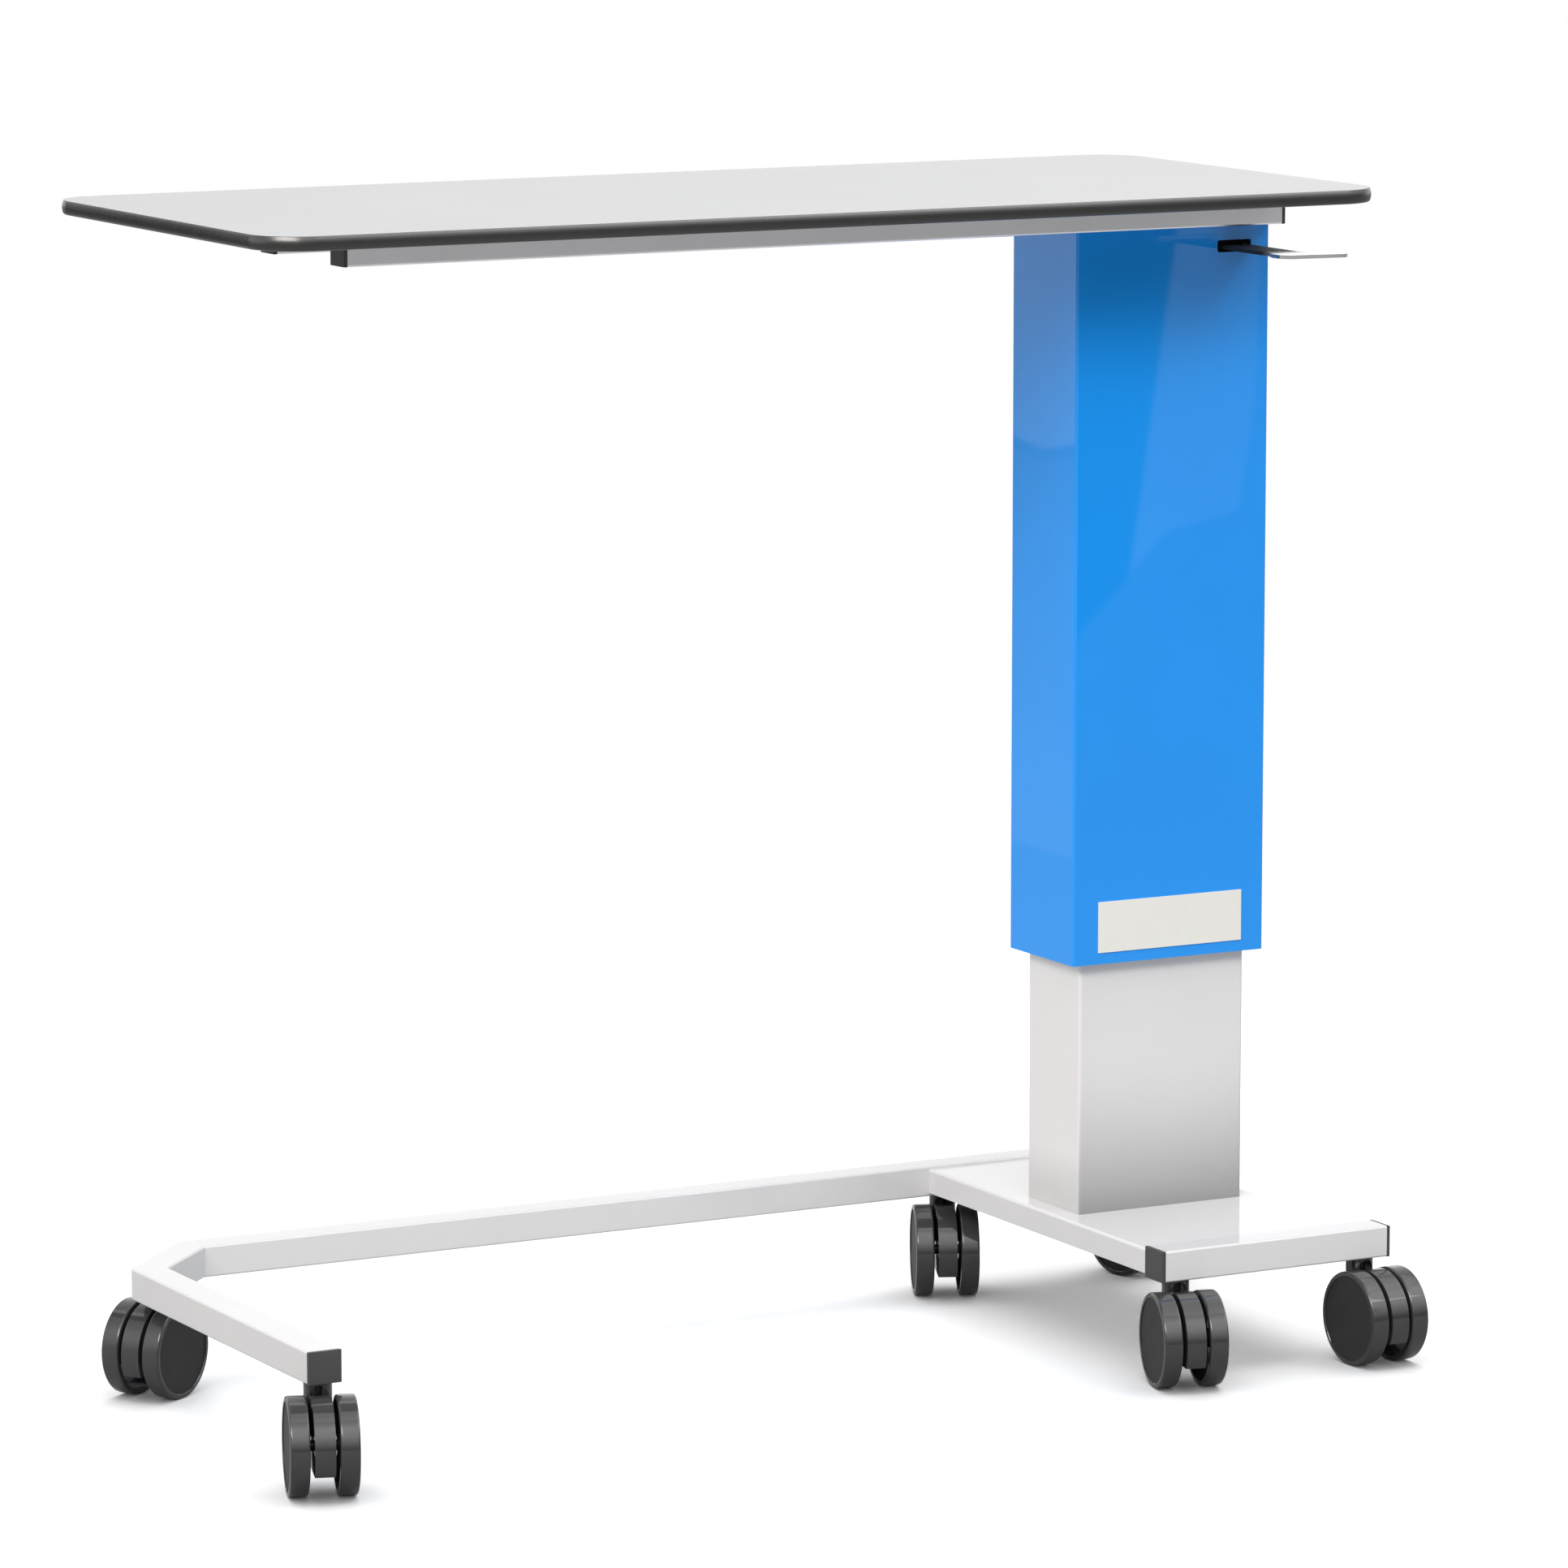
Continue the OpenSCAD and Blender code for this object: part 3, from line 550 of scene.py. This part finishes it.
make_lever_metal()
bare_metal("rod_chrome", (0.75, 0.75, 0.77), 0.08, 0.08, 5e-7, (1, 1, 0.05))
bare_metal("steel", (0.58, 0.59, 0.61), 0.25, 0.15, 2e-6, (1, 1, 1), black_low=True)
bare_metal("bare_steel", (0.30, 0.30, 0.31), 0.35, 0.2, 4e-6, (1, 0.1, 1))


# %% [markdown]
# ### Particle board
# Under the laminate lies pressed wood, with flakes of stretched noise in two browns. Its
# underside, which shows from below, is faced with pale grey melamine.

# %% Board
def make_board():
    finish = Finish("board_core")
    flakes = finish.noise(0.004, detail=4.0, stretch=(0.4, 1, 1))
    wood = finish.ramp(flakes, (0.35, (0.36, 0.24, 0.13)), (0.65, (0.62, 0.47, 0.30)))
    melamine = finish.ramp(finish.noise(0.08), *around((0.60, 0.60, 0.59), 0.02))
    bare = finish.step(finish.part(finish.place.also("Normal"), "Z"), -0.9, -0.5)
    shade = finish.blend(bare, melamine, wood)
    polish = 0.4 + 0.4 * bare
    finish.close(Base_Color=shade, Roughness=polish, Normal=finish.bump(bare * flakes, 8e-5))


make_board()
for row in frame["record"]["subparts"]:
    for slot in frame["nodes"][row["node"]].material_slots:
        slot.material = FINISHES[row["material_slot"]]
print(len(FINISHES), "finishes on", len(frame["nodes"]), "packed pieces")

# %% [markdown]
# ## Hand tools
# These few helpers stand for what a modeller does with the mouse: select by place or
# direction, then extrude, inset or bevel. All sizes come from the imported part.

# %% Selecting and shaping
X, Y, Z = 0, 1, 2
ALIGNED = 0.99
MERGE_WITHIN = 1e-6


def take(part):
    bpy.ops.object.select_all(action="DESELECT")
    part.select_set(True)
    bpy.context.view_layer.objects.active = part


@contextmanager
def editing(part):
    take(part)
    bpy.ops.object.mode_set(mode="EDIT")
    bpy.ops.mesh.select_mode(type="FACE")
    yield
    bpy.ops.object.mode_set(mode="OBJECT")


def pick(part, kind, test):
    """Selects the vertices, edges or faces that pass the test, in edit mode."""
    bpy.ops.mesh.select_mode(type=kind)
    bpy.ops.mesh.select_all(action="DESELECT")
    mesh = bmesh.from_edit_mesh(part.data)
    groups = {"VERT": mesh.verts, "EDGE": mesh.edges, "FACE": mesh.faces}
    chosen = [element for element in groups[kind] if test(element)]
    for element in chosen:
        element.select_set(True)
    mesh.select_flush_mode()
    bmesh.update_edit_mesh(part.data)
    return len(chosen)


def pick_all(kind="FACE"):
    bpy.ops.mesh.select_mode(type=kind)
    bpy.ops.mesh.select_all(action="SELECT")


def runs_along(axis):
    """True for an edge that lies along that axis."""
    def test(edge):
        way = edge.verts[1].co - edge.verts[0].co
        return abs(way[axis]) > ALIGNED * way.length
    return test


def faces_along(axis, side=0):
    """True for a face that looks along that axis, to one side or to both."""
    def test(face):
        reach = face.normal[axis] * side if side else abs(face.normal[axis])
        return reach > ALIGNED
    return test


def modify(part, kind, **settings):
    take(part)
    modifier = part.modifiers.new(kind.lower(), kind)
    for name, value in settings.items():
        setattr(modifier, name, value)
    bpy.ops.object.modifier_apply(modifier=modifier.name)


def ease(part, width, segments=2, angle=30):
    """Rounds every edge sharper than the angle and shades flat faces flat."""
    modify(part, "BEVEL", width=width, segments=segments, limit_method="ANGLE",
           angle_limit=radians(angle), use_clamp_overlap=True)
    smooth(part, angle)


def smooth(part, angle=30):
    take(part)
    bpy.ops.object.shade_smooth_by_angle(angle=radians(angle))
    modify(part, "WEIGHTED_NORMAL", keep_sharp=True)


def turn_outward(part):
    with editing(part):
        pick_all()
        bpy.ops.mesh.remove_doubles(threshold=MERGE_WITHIN)
        bpy.ops.mesh.normals_make_consistent(inside=False)


def settle(name):
    part = bpy.context.active_object
    part.name = name
    part.data.name = name
    bpy.ops.object.transform_apply(location=True, rotation=True, scale=True)
    return part


def add_block(name, low, high):
    """A block between two corners."""
    low, high = Vector(low), Vector(high)
    bpy.ops.object.select_all(action="DESELECT")
    bpy.ops.mesh.primitive_cube_add(size=1, location=(low + high) / 2)
    bpy.context.active_object.scale = high - low
    return settle(name)


def add_plate(name, low, high, height):
    """A flat rectangle between two corners, at that height."""
    middle = (low + high) / 2
    bpy.ops.object.select_all(action="DESELECT")
    bpy.ops.mesh.primitive_plane_add(size=1, location=(middle.x, middle.y, height))
    bpy.context.active_object.scale = (high.x - low.x, high.y - low.y, 1)
    return settle(name)


def add_drum(name, middle, axis, radius, length, sides=96):
    """A cylinder along one axis."""
    turn = {X: (0, pi / 2, 0), Y: (pi / 2, 0, 0), Z: (0, 0, 0)}[axis]
    bpy.ops.object.select_all(action="DESELECT")
    bpy.ops.mesh.primitive_cylinder_add(
        vertices=sides, radius=radius, depth=length, location=middle, rotation=turn)
    return settle(name)


def arc(radius, start=0.0, stop=pi / 2, steps=5):
    """Moves round an arc, by its angle from the side: (inward, outward) for each step."""
    turns = [start + (stop - start) * i / steps for i in range(steps + 1)]
    pairs = zip(turns, turns[1:])
    return [(radius * (cos(a) - cos(b)), radius * (sin(b) - sin(a))) for a, b in pairs]


def run_in(moves, reach):
    """The level move that ends that far inside the place where the moves began."""
    return (reach - sum(inward for inward, outward in moves), 0)


def climb(moves):
    """Steps the selected face inward and outward, leaving a ring at each step."""
    for inward, outward in moves:
        bpy.ops.mesh.inset(thickness=inward, depth=outward, use_even_offset=True)


def cut_with(part, cutter, operation="DIFFERENCE"):
    """Cuts with, or joins, another piece, which is then gone."""
    modify(part, "BOOLEAN", operation=operation, object=cutter, solver="EXACT")
    bpy.data.objects.remove(cutter)


def copy_of(part, name, matrix=None):
    """A copy with a mesh of its own, moved by the matrix."""
    twin = part.copy()
    twin.data = part.data.copy()
    twin.name = name
    twin.data.name = name
    bpy.context.scene.collection.objects.link(twin)
    if matrix is not None:
        twin.data.transform(matrix)
    return twin


def done(part, body, slot, *nodes):
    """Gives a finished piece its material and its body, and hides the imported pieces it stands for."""
    part.data.materials.clear()
    part.data.materials.append(FINISHES[slot])
    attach(part, body)
    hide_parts(*nodes)
    size = [round(v / MM, 1) for v in part.dimensions]
    print(f"{part.name}: {size} mm, {len(part.data.polygons)} faces")


def make_tube(name, low, high, axis, corner, wall, segments=6):
    """A rectangular tube: an open block with rounded long edges and a wall."""
    part = add_block(name, low, high)
    with editing(part):
        pick(part, "FACE", faces_along(axis))
        bpy.ops.mesh.delete(type="FACE")
        pick(part, "EDGE", runs_along(axis))
        bpy.ops.mesh.bevel(offset=corner, segments=segments, affect="EDGES")
    modify(part, "SOLIDIFY", thickness=wall, offset=-1, use_even_offset=True)
    return part


# %% [markdown]
# ## The top
# The white sheet is a thin slab with round corners. A plane gets its four corners rounded
# by a vertex bevel, which is quick and exact, and is then extruded to its thickness.

# %% Laminate sheet
CORNER_R = 38 * MM
SHEET_INSET = 0.4 * MM
ARC_STEPS = 20
RIM = 0.15 * MM


def round_corners(radius):
    pick_all("VERT")
    bpy.ops.mesh.bevel(offset=radius, segments=ARC_STEPS, affect="VERTICES")


sheet_low, sheet_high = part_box("tabletop_laminate")
sheet_t = sheet_high.z - sheet_low.z
sheet = add_plate("laminate_sheet", sheet_low, sheet_high, sheet_low.z)
with editing(sheet):
    round_corners(CORNER_R - SHEET_INSET)
    pick_all()
    bpy.ops.mesh.extrude_region_move(TRANSFORM_OT_translate={"value": (0, 0, sheet_t - RIM)})
    bpy.ops.mesh.inset(thickness=RIM, depth=RIM)
turn_outward(sheet)
smooth(sheet)
done(sheet, "upper", "laminate", "tabletop_laminate")
aim(key, [floor, sheet], "EXCLUDE")

# %% [markdown]
# The dark edge is drawn plastic that bulges a little and is rounder below than above. Its
# section is walked with insets: each inset moves the outline inward by an exact distance,
# and its depth moves it up or down. Two faces lie back to back at mid height, and one is
# walked up and the other one down.

# %% Moulded edge
edge_low, edge_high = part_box("tabletop_edge")
EDGE_T = edge_high.z - edge_low.z
EDGE_W = 4 * MM
BULGE = 1.2 * MM
TOP_R = 0.5 * MM
LOW_R = 2.5 * MM
bulge_r = EDGE_T ** 2 / (8 * BULGE) + BULGE / 2


def half_section(round_r):
    """From the widest line along the bulge and then round to the level face."""
    lean = asin((EDGE_T / 2 - round_r) / (bulge_r - round_r))
    return arc(bulge_r, 0, lean) + arc(round_r, lean)


edge = add_plate("moulded_edge", edge_low, edge_high, (edge_low.z + edge_high.z) / 2)
with editing(edge):
    round_corners(CORNER_R + BULGE)
    pick_all()
    bpy.ops.mesh.duplicate()
    bpy.ops.mesh.flip_normals()
    under = half_section(LOW_R)
    climb(under + [run_in(under, BULGE + EDGE_W)])
    bpy.ops.mesh.delete(type="FACE")
    pick(edge, "FACE", faces_along(Z, 1))
    over = half_section(TOP_R)
    climb(over + [run_in(over, BULGE + SHEET_INSET)])
    climb([(0, -sheet_t), (EDGE_W - SHEET_INSET, 0), (0, sheet_t - EDGE_T)])
    bpy.ops.mesh.delete(type="FACE")
turn_outward(edge)
smooth(edge, 50)
done(edge, "upper", "edge_moulding", "tabletop_edge")

# %% [markdown]
# ## The rails
# Two painted tubes carry the top. Each has three holes in its floor, wide enough for a
# driver, through which the screws were put in. The ends are closed by pushed-in caps.

# %% Rails and their caps
RAIL_WALL = 1.5 * MM
RAIL_CORNER = 1.6 * MM
SCREW_HEAD_R = 4 * MM
ACCESS_R = 6 * MM
CAP_T = 3 * MM
CAP_EASE = 0.4 * MM
PLUG_LEN = 10 * MM


def end_cap(name, low, high, axis, side, wall):
    """A cap on the end of a tube that lies between two corners: a flange and a plug."""
    low, high = low.copy(), high.copy()
    end = high[axis] if side > 0 else low[axis]
    low[axis], high[axis] = sorted((end, end + side * CAP_T))
    cap = add_block(name, low, high)
    with editing(cap):
        pick(cap, "FACE", faces_along(axis, -side))
        climb([(wall, 0), (0, PLUG_LEN)])
    ease(cap, CAP_EASE, 3)
    return cap


screws_low, screws_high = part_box("tabletop_screws")
first_screw, last_screw = screws_low.x + SCREW_HEAD_R, screws_high.x - SCREW_HEAD_R
screw_places = [first_screw, (first_screw + last_screw) / 2, last_screw]
for name in ("front_rail", "rear_rail"):
    low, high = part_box(name)
    rail = make_tube(name + "_tube", low, high, X, RAIL_CORNER, RAIL_WALL)
    for x in screw_places:
        place = (x, (low.y + high.y) / 2, low.z)
        cut_with(rail, add_drum("access", place, Z, ACCESS_R, 4 * RAIL_WALL, 48))
    smooth(rail)
    done(rail, "upper", "rail_paint", name)
    for side, word in ((-1, "left"), (1, "right")):
        cap = end_cap(f"{name}_{word}_cap", low, high, X, side, RAIL_WALL)
        done(cap, "upper", "cap_plastic", "rail_end_caps")

# %% [markdown]
# ## The sleeve
# The blue sleeve is a welded box of 2 mm sheet with tight bends. It starts as a block whose
# ends are taken out, and Solidify gives it its wall. The slot for the lever is cut by a
# rounded block, because a Boolean keeps the wall's true thickness in view.

# %% Sleeve
SLEEVE_WALL = 2 * MM
SLEEVE_CORNER = 2 * MM
SLOT_W, SLOT_H, SLOT_R = 31 * MM, 9.6 * MM, 2 * MM
SLOT_X = 55.8 * MM
SLOT_Z = 875.2 * MM
FOLD_EASE = 0.3 * MM

column_low, column_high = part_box("column")
middle = (column_low + column_high) / 2
low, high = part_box("sleeve")
sleeve = make_tube("sleeve_shell", low, high, Z, SLEEVE_CORNER, SLEEVE_WALL)
slot_low = (middle.x + SLOT_X - SLOT_W / 2, low.y - SLEEVE_WALL, SLOT_Z - SLOT_H / 2)
slot_high = (middle.x + SLOT_X + SLOT_W / 2, low.y + 2 * SLEEVE_WALL, SLOT_Z + SLOT_H / 2)
cutter = add_block("slot", slot_low, slot_high)
with editing(cutter):
    pick(cutter, "EDGE", runs_along(Y))
    bpy.ops.mesh.bevel(offset=SLOT_R, segments=6, affect="EDGES")
cut_with(sleeve, cutter)
ease(sleeve, FOLD_EASE, 2, 50)
done(sleeve, "upper", "sleeve_paint", "sleeve")

# %% [markdown]
# The plate on the sleeve is plain moulded plastic with nothing on it, a millimetre thick.

# %% Plate
PLATE_EASE = 0.2 * MM
plate = add_block("bare_plate", *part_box("label_plate"))
ease(plate, PLATE_EASE, 3)
done(plate, "upper", "label", "label_plate")

# %% [markdown]
# ## The lever
# The lever is cut from flat plate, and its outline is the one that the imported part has. So
# a copy of that mesh is merged and its flat faces are made whole again, and then all its
# edges are eased as a polisher would leave them.

# %% Lever
LEVER_EASE = 0.45 * MM


def remade(node, name):
    """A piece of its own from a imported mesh, with whole flat faces."""
    part = bpy.data.objects.new(name, frame["nodes"][node].data.copy())
    bpy.context.scene.collection.objects.link(part)
    with editing(part):
        pick_all()
        bpy.ops.mesh.remove_doubles(threshold=MERGE_WITHIN)
        bpy.ops.mesh.dissolve_limited(angle_limit=radians(1))
    return part


lever = remade("release_lever", "lever_plate")
ease(lever, LEVER_EASE, 3, 40)
done(lever, "lever", "lever_chrome", "release_lever")

# %% [markdown]
# ## The column
# The white column is the same kind of box as the sleeve, a size smaller, with a thicker
# wall and softer bends.

# %% Column
COLUMN_WALL = 2.5 * MM
COLUMN_CORNER = 2.5 * MM
low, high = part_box("column")
column = make_tube("column_shell", low, high, Z, COLUMN_CORNER, COLUMN_WALL)
ease(column, FOLD_EASE, 2, 50)
done(column, "base", "column_paint", "column")

# %% [markdown]
# ## The base
# The pan is one sheet folded down at both sides, so its top edges are round and its ends
# are open against the tubes.

# %% Pan
PAN_T = 3 * MM
PAN_BEND = 2.5 * MM
low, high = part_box("base_pan")
pan = add_block("pan_sheet", low, high)
with editing(pan):
    pick(pan, "FACE", lambda face: face.normal.z < -0.9 or abs(face.normal.y) > 0.9)
    bpy.ops.mesh.delete(type="FACE")
    pan_fold = high.z - MM
    pick(pan, "EDGE", lambda edge: runs_along(Y)(edge) and edge.verts[0].co.z > pan_fold)
    bpy.ops.mesh.bevel(offset=PAN_BEND, segments=6, affect="EDGES")
modify(pan, "SOLIDIFY", thickness=PAN_T, offset=-1, use_even_offset=True)
ease(pan, FOLD_EASE, 2, 50)
done(pan, "base", "base_paint", "base_pan")
aim(pan_fill, [pan], "INCLUDE")

# %% [markdown]
# The frame is welded tube, mitred at the corner and then ground flush. To get corners that
# really meet, the frame is first drawn whole: a rectangle with one corner cut off, inset by
# the width of the tube, gives both outlines with every mitre right. It is then cut into
# three tubes at the mitres.

# %% Welded frame
TUBE_WALL = 2 * MM
TUBE_CORNER = 1.8 * MM
WELD_R = 10 * MM
TURN = radians(22.5)

foot_low, foot_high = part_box("foot_tube")
rear_low, rear_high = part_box("rear_tube")
tube_w = foot_high.x - foot_low.x
tube_h = foot_high.z - foot_low.z
cut_off = rear_high.y - foot_high.y
spare = 2 * tube_w
outline_low = Vector((foot_low.x, foot_low.y - spare, foot_low.z))
outline_high = Vector((rear_high.x + spare, rear_high.y, foot_low.z))
weldment = add_plate("welded_frame", outline_low, outline_high, foot_low.z)


def near(place, reach=MM):
    """True for an element whose middle lies that near to a place in plan."""
    def test(element):
        if hasattr(element, "co"):
            at = element.co
        else:
            at = sum((vert.co for vert in element.verts), Vector()) / len(element.verts)
        return (at.xy - Vector(place)).length < reach
    return test


def square_off(co, no):
    """Cuts off everything on the far side of a plane."""
    pick_all()
    bpy.ops.mesh.bisect(plane_co=co, plane_no=no, clear_outer=True)


def on_end(face):
    """True for a face that closes one of the two ends of the frame."""
    middle = face.calc_center_median()
    return middle.x > rear_high.x - MM or middle.y < foot_low.y + MM


def long_edge(edge):
    """True for a level edge that doesn't lie round an end."""
    level = abs(edge.verts[0].co.z - edge.verts[1].co.z) < MM / 10
    return level and not any(on_end(face) for face in edge.link_faces)


with editing(weldment):
    pick(weldment, "VERT", near((outline_low.x, outline_high.y)))
    bpy.ops.mesh.bevel(offset=cut_off, segments=1, affect="VERTICES")
    pick_all()
    bpy.ops.mesh.inset(thickness=tube_w, depth=0)
    bpy.ops.mesh.delete(type="FACE")
    square_off((rear_high.x, 0, 0), (1, 0, 0))
    square_off((0, foot_low.y, 0), (0, -1, 0))
    pick_all()
    bpy.ops.mesh.extrude_region_move(TRANSFORM_OT_translate={"value": (0, 0, tube_h)})
turn_outward(weldment)
with editing(weldment):
    foot_corner = near((foot_low.x, foot_high.y))
    rear_corner = near((rear_low.x, rear_high.y))
    pick(weldment, "EDGE", lambda edge: foot_corner(edge) or rear_corner(edge))
    bpy.ops.mesh.bevel(offset=WELD_R * tan(TURN), segments=6, affect="EDGES")
    pick(weldment, "EDGE", lambda edge: long_edge(edge) and edge.calc_face_angle() > 1)
    bpy.ops.mesh.bevel(offset=TUBE_CORNER, segments=4, affect="EDGES")
print("frame drawn whole:", [round(v / MM, 1) for v in weldment.dimensions])

# %% [markdown]
# A cut through each mitre, with its plane halfway between the two directions, gives the
# three tubes. Their cut faces are open, and Solidify then makes the walls.

# %% Three tubes
half_w = tube_w / 2
foot_joint = Vector((foot_low.x + half_w, foot_high.y - half_w * tan(TURN), 0))
rear_joint = Vector((rear_low.x + half_w * tan(TURN), rear_high.y - half_w, 0))
foot_normal = Vector((sin(TURN), cos(TURN), 0))
rear_normal = Vector((cos(TURN), sin(TURN), 0))
cuts = {
    "foot_tube": [(foot_joint, foot_normal)],
    "corner_tube": [(foot_joint, -foot_normal), (rear_joint, rear_normal)],
    "rear_tube": [(rear_joint, -rear_normal)],
}
for name, planes in cuts.items():
    tube = copy_of(weldment, name + "_shell")
    with editing(tube):
        for co, no in planes:
            square_off(co, no)
        pick(tube, "FACE", on_end)
        bpy.ops.mesh.delete(type="FACE")
    modify(tube, "SOLIDIFY", thickness=TUBE_WALL, offset=-1, use_even_offset=True)
    smooth(tube)
    done(tube, "base", "base_paint", name)
bpy.data.objects.remove(weldment)

low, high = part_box("front_tube")
tube = make_tube("front_tube_shell", low, high, X, TUBE_CORNER, TUBE_WALL, 4)
smooth(tube)
done(tube, "base", "base_paint", "front_tube")

# %% [markdown]
# Four plastic caps close the ends of the base: two on the front tube, one on the rear tube
# and one on the foot tube. The helper that made the caps of the rails makes these too. The
# box of the rear tube is wider than its end, because of the mitre, so it is narrowed first.

# %% Caps of the base
for name, tube_name, axis, side in (
    ("front_left_cap", "front_tube", X, -1),
    ("front_right_cap", "front_tube", X, 1),
    ("rear_right_cap", "rear_tube", X, 1),
    ("foot_cap", "foot_tube", Y, -1),
):
    low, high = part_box(tube_name)
    if tube_name == "rear_tube":
        low = Vector((low.x, high.y - tube_w, low.z))
    cap = end_cap(name, low, high, axis, side, TUBE_WALL)
    done(cap, "base", "cap_plastic", "tube_end_caps")

# %% [markdown]
# ## The casters
# All six casters are alike, so one is modelled with its swivel axis over the origin and
# then copied. A wheel starts as a drum: its rims are rounded by walking insets round an
# arc, and the outer face is sunk inside the rim. The axle lies along X.

# %% Wheel
joints = {joint["name"]: joint for joint in frame["joints"]}
swivel = Vector(joints["swivel_1"]["pos_m"])
spin = Vector(joints["left_spin_1"]["pos_m"])
TRAIL = (spin.xy - swivel.xy).length
WHEEL_R = spin.z
WHEEL_W = 15 * MM
CASTER_W = 52 * MM
EDGE_R = 1.8 * MM
RIM_W = 4 * MM
RIM_EASE = 0.4 * MM
SINK = 0.6 * MM
LEDGE = 0.3 * MM
DISH_IN, DISH = 10 * MM, 0.2 * MM
POCKET = 9 * MM
BORE = 11 * MM
AXLE_R = 4 * MM
HUB_R = 8 * MM
axle_place = Vector((0, -TRAIL, WHEEL_R))


def inside_disc(face):
    """True for a face that looks out and lies within the rim."""
    reach = (face.calc_center_median() - axle_place).yz.length
    return face.normal.x < -0.9 and reach < WHEEL_R - RIM_W


def make_wheel():
    """The wheel on the left: its outer face looks along -X."""
    centre = axle_place - Vector((CASTER_W / 2 - WHEEL_W / 2, 0, 0))
    wheel = add_drum("wheel", centre, X, WHEEL_R, WHEEL_W - 2 * EDGE_R, 128)
    rim = arc(EDGE_R)
    with editing(wheel):
        pick(wheel, "FACE", faces_along(X, -1))
        climb(rim + [run_in(rim, RIM_W - RIM_EASE), (RIM_EASE, -RIM_EASE), (0, -SINK)])
        climb([(LEDGE, 0), (DISH_IN, -DISH)])
        pick(wheel, "FACE", inside_disc)
        bpy.ops.geometry.attribute_add(name=MATT, domain="FACE", data_type="FLOAT")
        bpy.ops.mesh.attribute_set(value_float=1.0)
        pick(wheel, "FACE", faces_along(X, 1))
        climb(rim + [run_in(rim, RIM_W), (0, -POCKET), (WHEEL_R - RIM_W - HUB_R, 0)])
        climb([(0, POCKET), (HUB_R - AXLE_R, 0), (0, -BORE)])
    smooth(wheel, 40)
    return wheel


wheel = make_wheel()
print("wheel:", [round(v / MM, 1) for v in wheel.dimensions])

# %% [markdown]
# The hood is the web between the wheels. It follows the wheels' round, is cut off level
# above the floor and has a lower step in front. A round neck stands on it and turns on the
# stem, and the neck is hollowed by an arch on the side of the wheels.

# %% Hood
HOOD_W = 15.5 * MM
HOOD_R = WHEEL_R - 0.7 * MM
HOOD_CLEAR = 21 * MM
LEAD_Y = 8 * MM
LEAD_Z = 40 * MM
NECK_R = 10.75 * MM
NECK_LOW = 40 * MM
NECK_TOP = 80.5 * MM
ARCH_R = 6.5 * MM
ARCH_Z = 73 * MM
ARCH_DEPTH = 6 * MM
STEM_R = 5.5 * MM
HOOD_EASE = 0.5 * MM


def make_hood():
    hood = add_drum("hood", axle_place, X, HOOD_R, HOOD_W, 128)
    with editing(hood):
        pick_all()
        bpy.ops.mesh.bisect(plane_co=(0, 0, HOOD_CLEAR), plane_no=(0, 0, -1),
                            clear_outer=True, use_fill=True)
    lead_low = (-HOOD_W, LEAD_Y - TRAIL, -HOOD_R)
    cut_with(hood, add_block("lead", lead_low, (HOOD_W, HOOD_R, LEAD_Z)))
    neck_middle = (0, 0, (NECK_LOW + NECK_TOP) / 2)
    neck = add_drum("neck", neck_middle, Z, NECK_R, NECK_TOP - NECK_LOW, 96)
    arch_middle = (0, ARCH_DEPTH - 2 * NECK_R, ARCH_Z)
    cut_with(neck, add_drum("arch", arch_middle, Y, ARCH_R, 2 * NECK_R, 64))
    cut_with(neck, add_drum("bore", neck_middle, Z, STEM_R, 2 * NECK_TOP, 64))
    cut_with(hood, neck, "UNION")
    ease(hood, HOOD_EASE, 3, 40)
    return hood


hood = make_hood()
print("hood:", [round(v / MM, 1) for v in hood.dimensions])

# %% [markdown]
# Each caster stands at its swivel axis and is turned as far as its axle is. The right wheel
# is the left one turned half round, so one model serves for both. The side fill is aimed
# last, because the caster at the cut corner of the frame is one of the pieces it lights.

# %% Six casters
OUTER_CASTER = 6

half_turn = Matrix.Translation(axle_place) @ Matrix.Rotation(pi, 4, "Z")
half_turn = half_turn @ Matrix.Translation(-axle_place)
filled = [sleeve, column]
for i in range(1, 7):
    at = Vector(joints[f"swivel_{i}"]["pos_m"])
    way = Vector(joints[f"left_spin_{i}"]["axis"])
    turn = Matrix.Rotation(Vector((1, 0)).angle_signed(way.xy) * -1, 4, "Z")
    place = Matrix.Translation((at.x, at.y, 0)) @ turn
    pieces = [
        (hood, f"hood_body_{i}", place, f"caster_{i}", f"hood_{i}"),
        (wheel, f"left_tyre_{i}", place, f"left_wheel_{i}", f"left_wheel_{i}"),
        (wheel, f"right_tyre_{i}", place @ half_turn, f"right_wheel_{i}", f"right_wheel_{i}"),
    ]
    for model, name, matrix, body, node in pieces:
        piece = copy_of(model, name, matrix)
        done(piece, body, "caster_plastic", node)
        if i == OUTER_CASTER:
            filled.append(piece)
aim(side_fill, filled, "INCLUDE")
for model in (hood, wheel):
    bpy.data.objects.remove(model)

# %% [markdown]
# ## Measure and finish
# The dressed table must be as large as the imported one, so both boxes are written down.

# %% Finish
low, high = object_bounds()
print("grown in mm:", [round(v / MM, 2) for v in (cad_low - low)[:] + (high - cad_high)[:]])
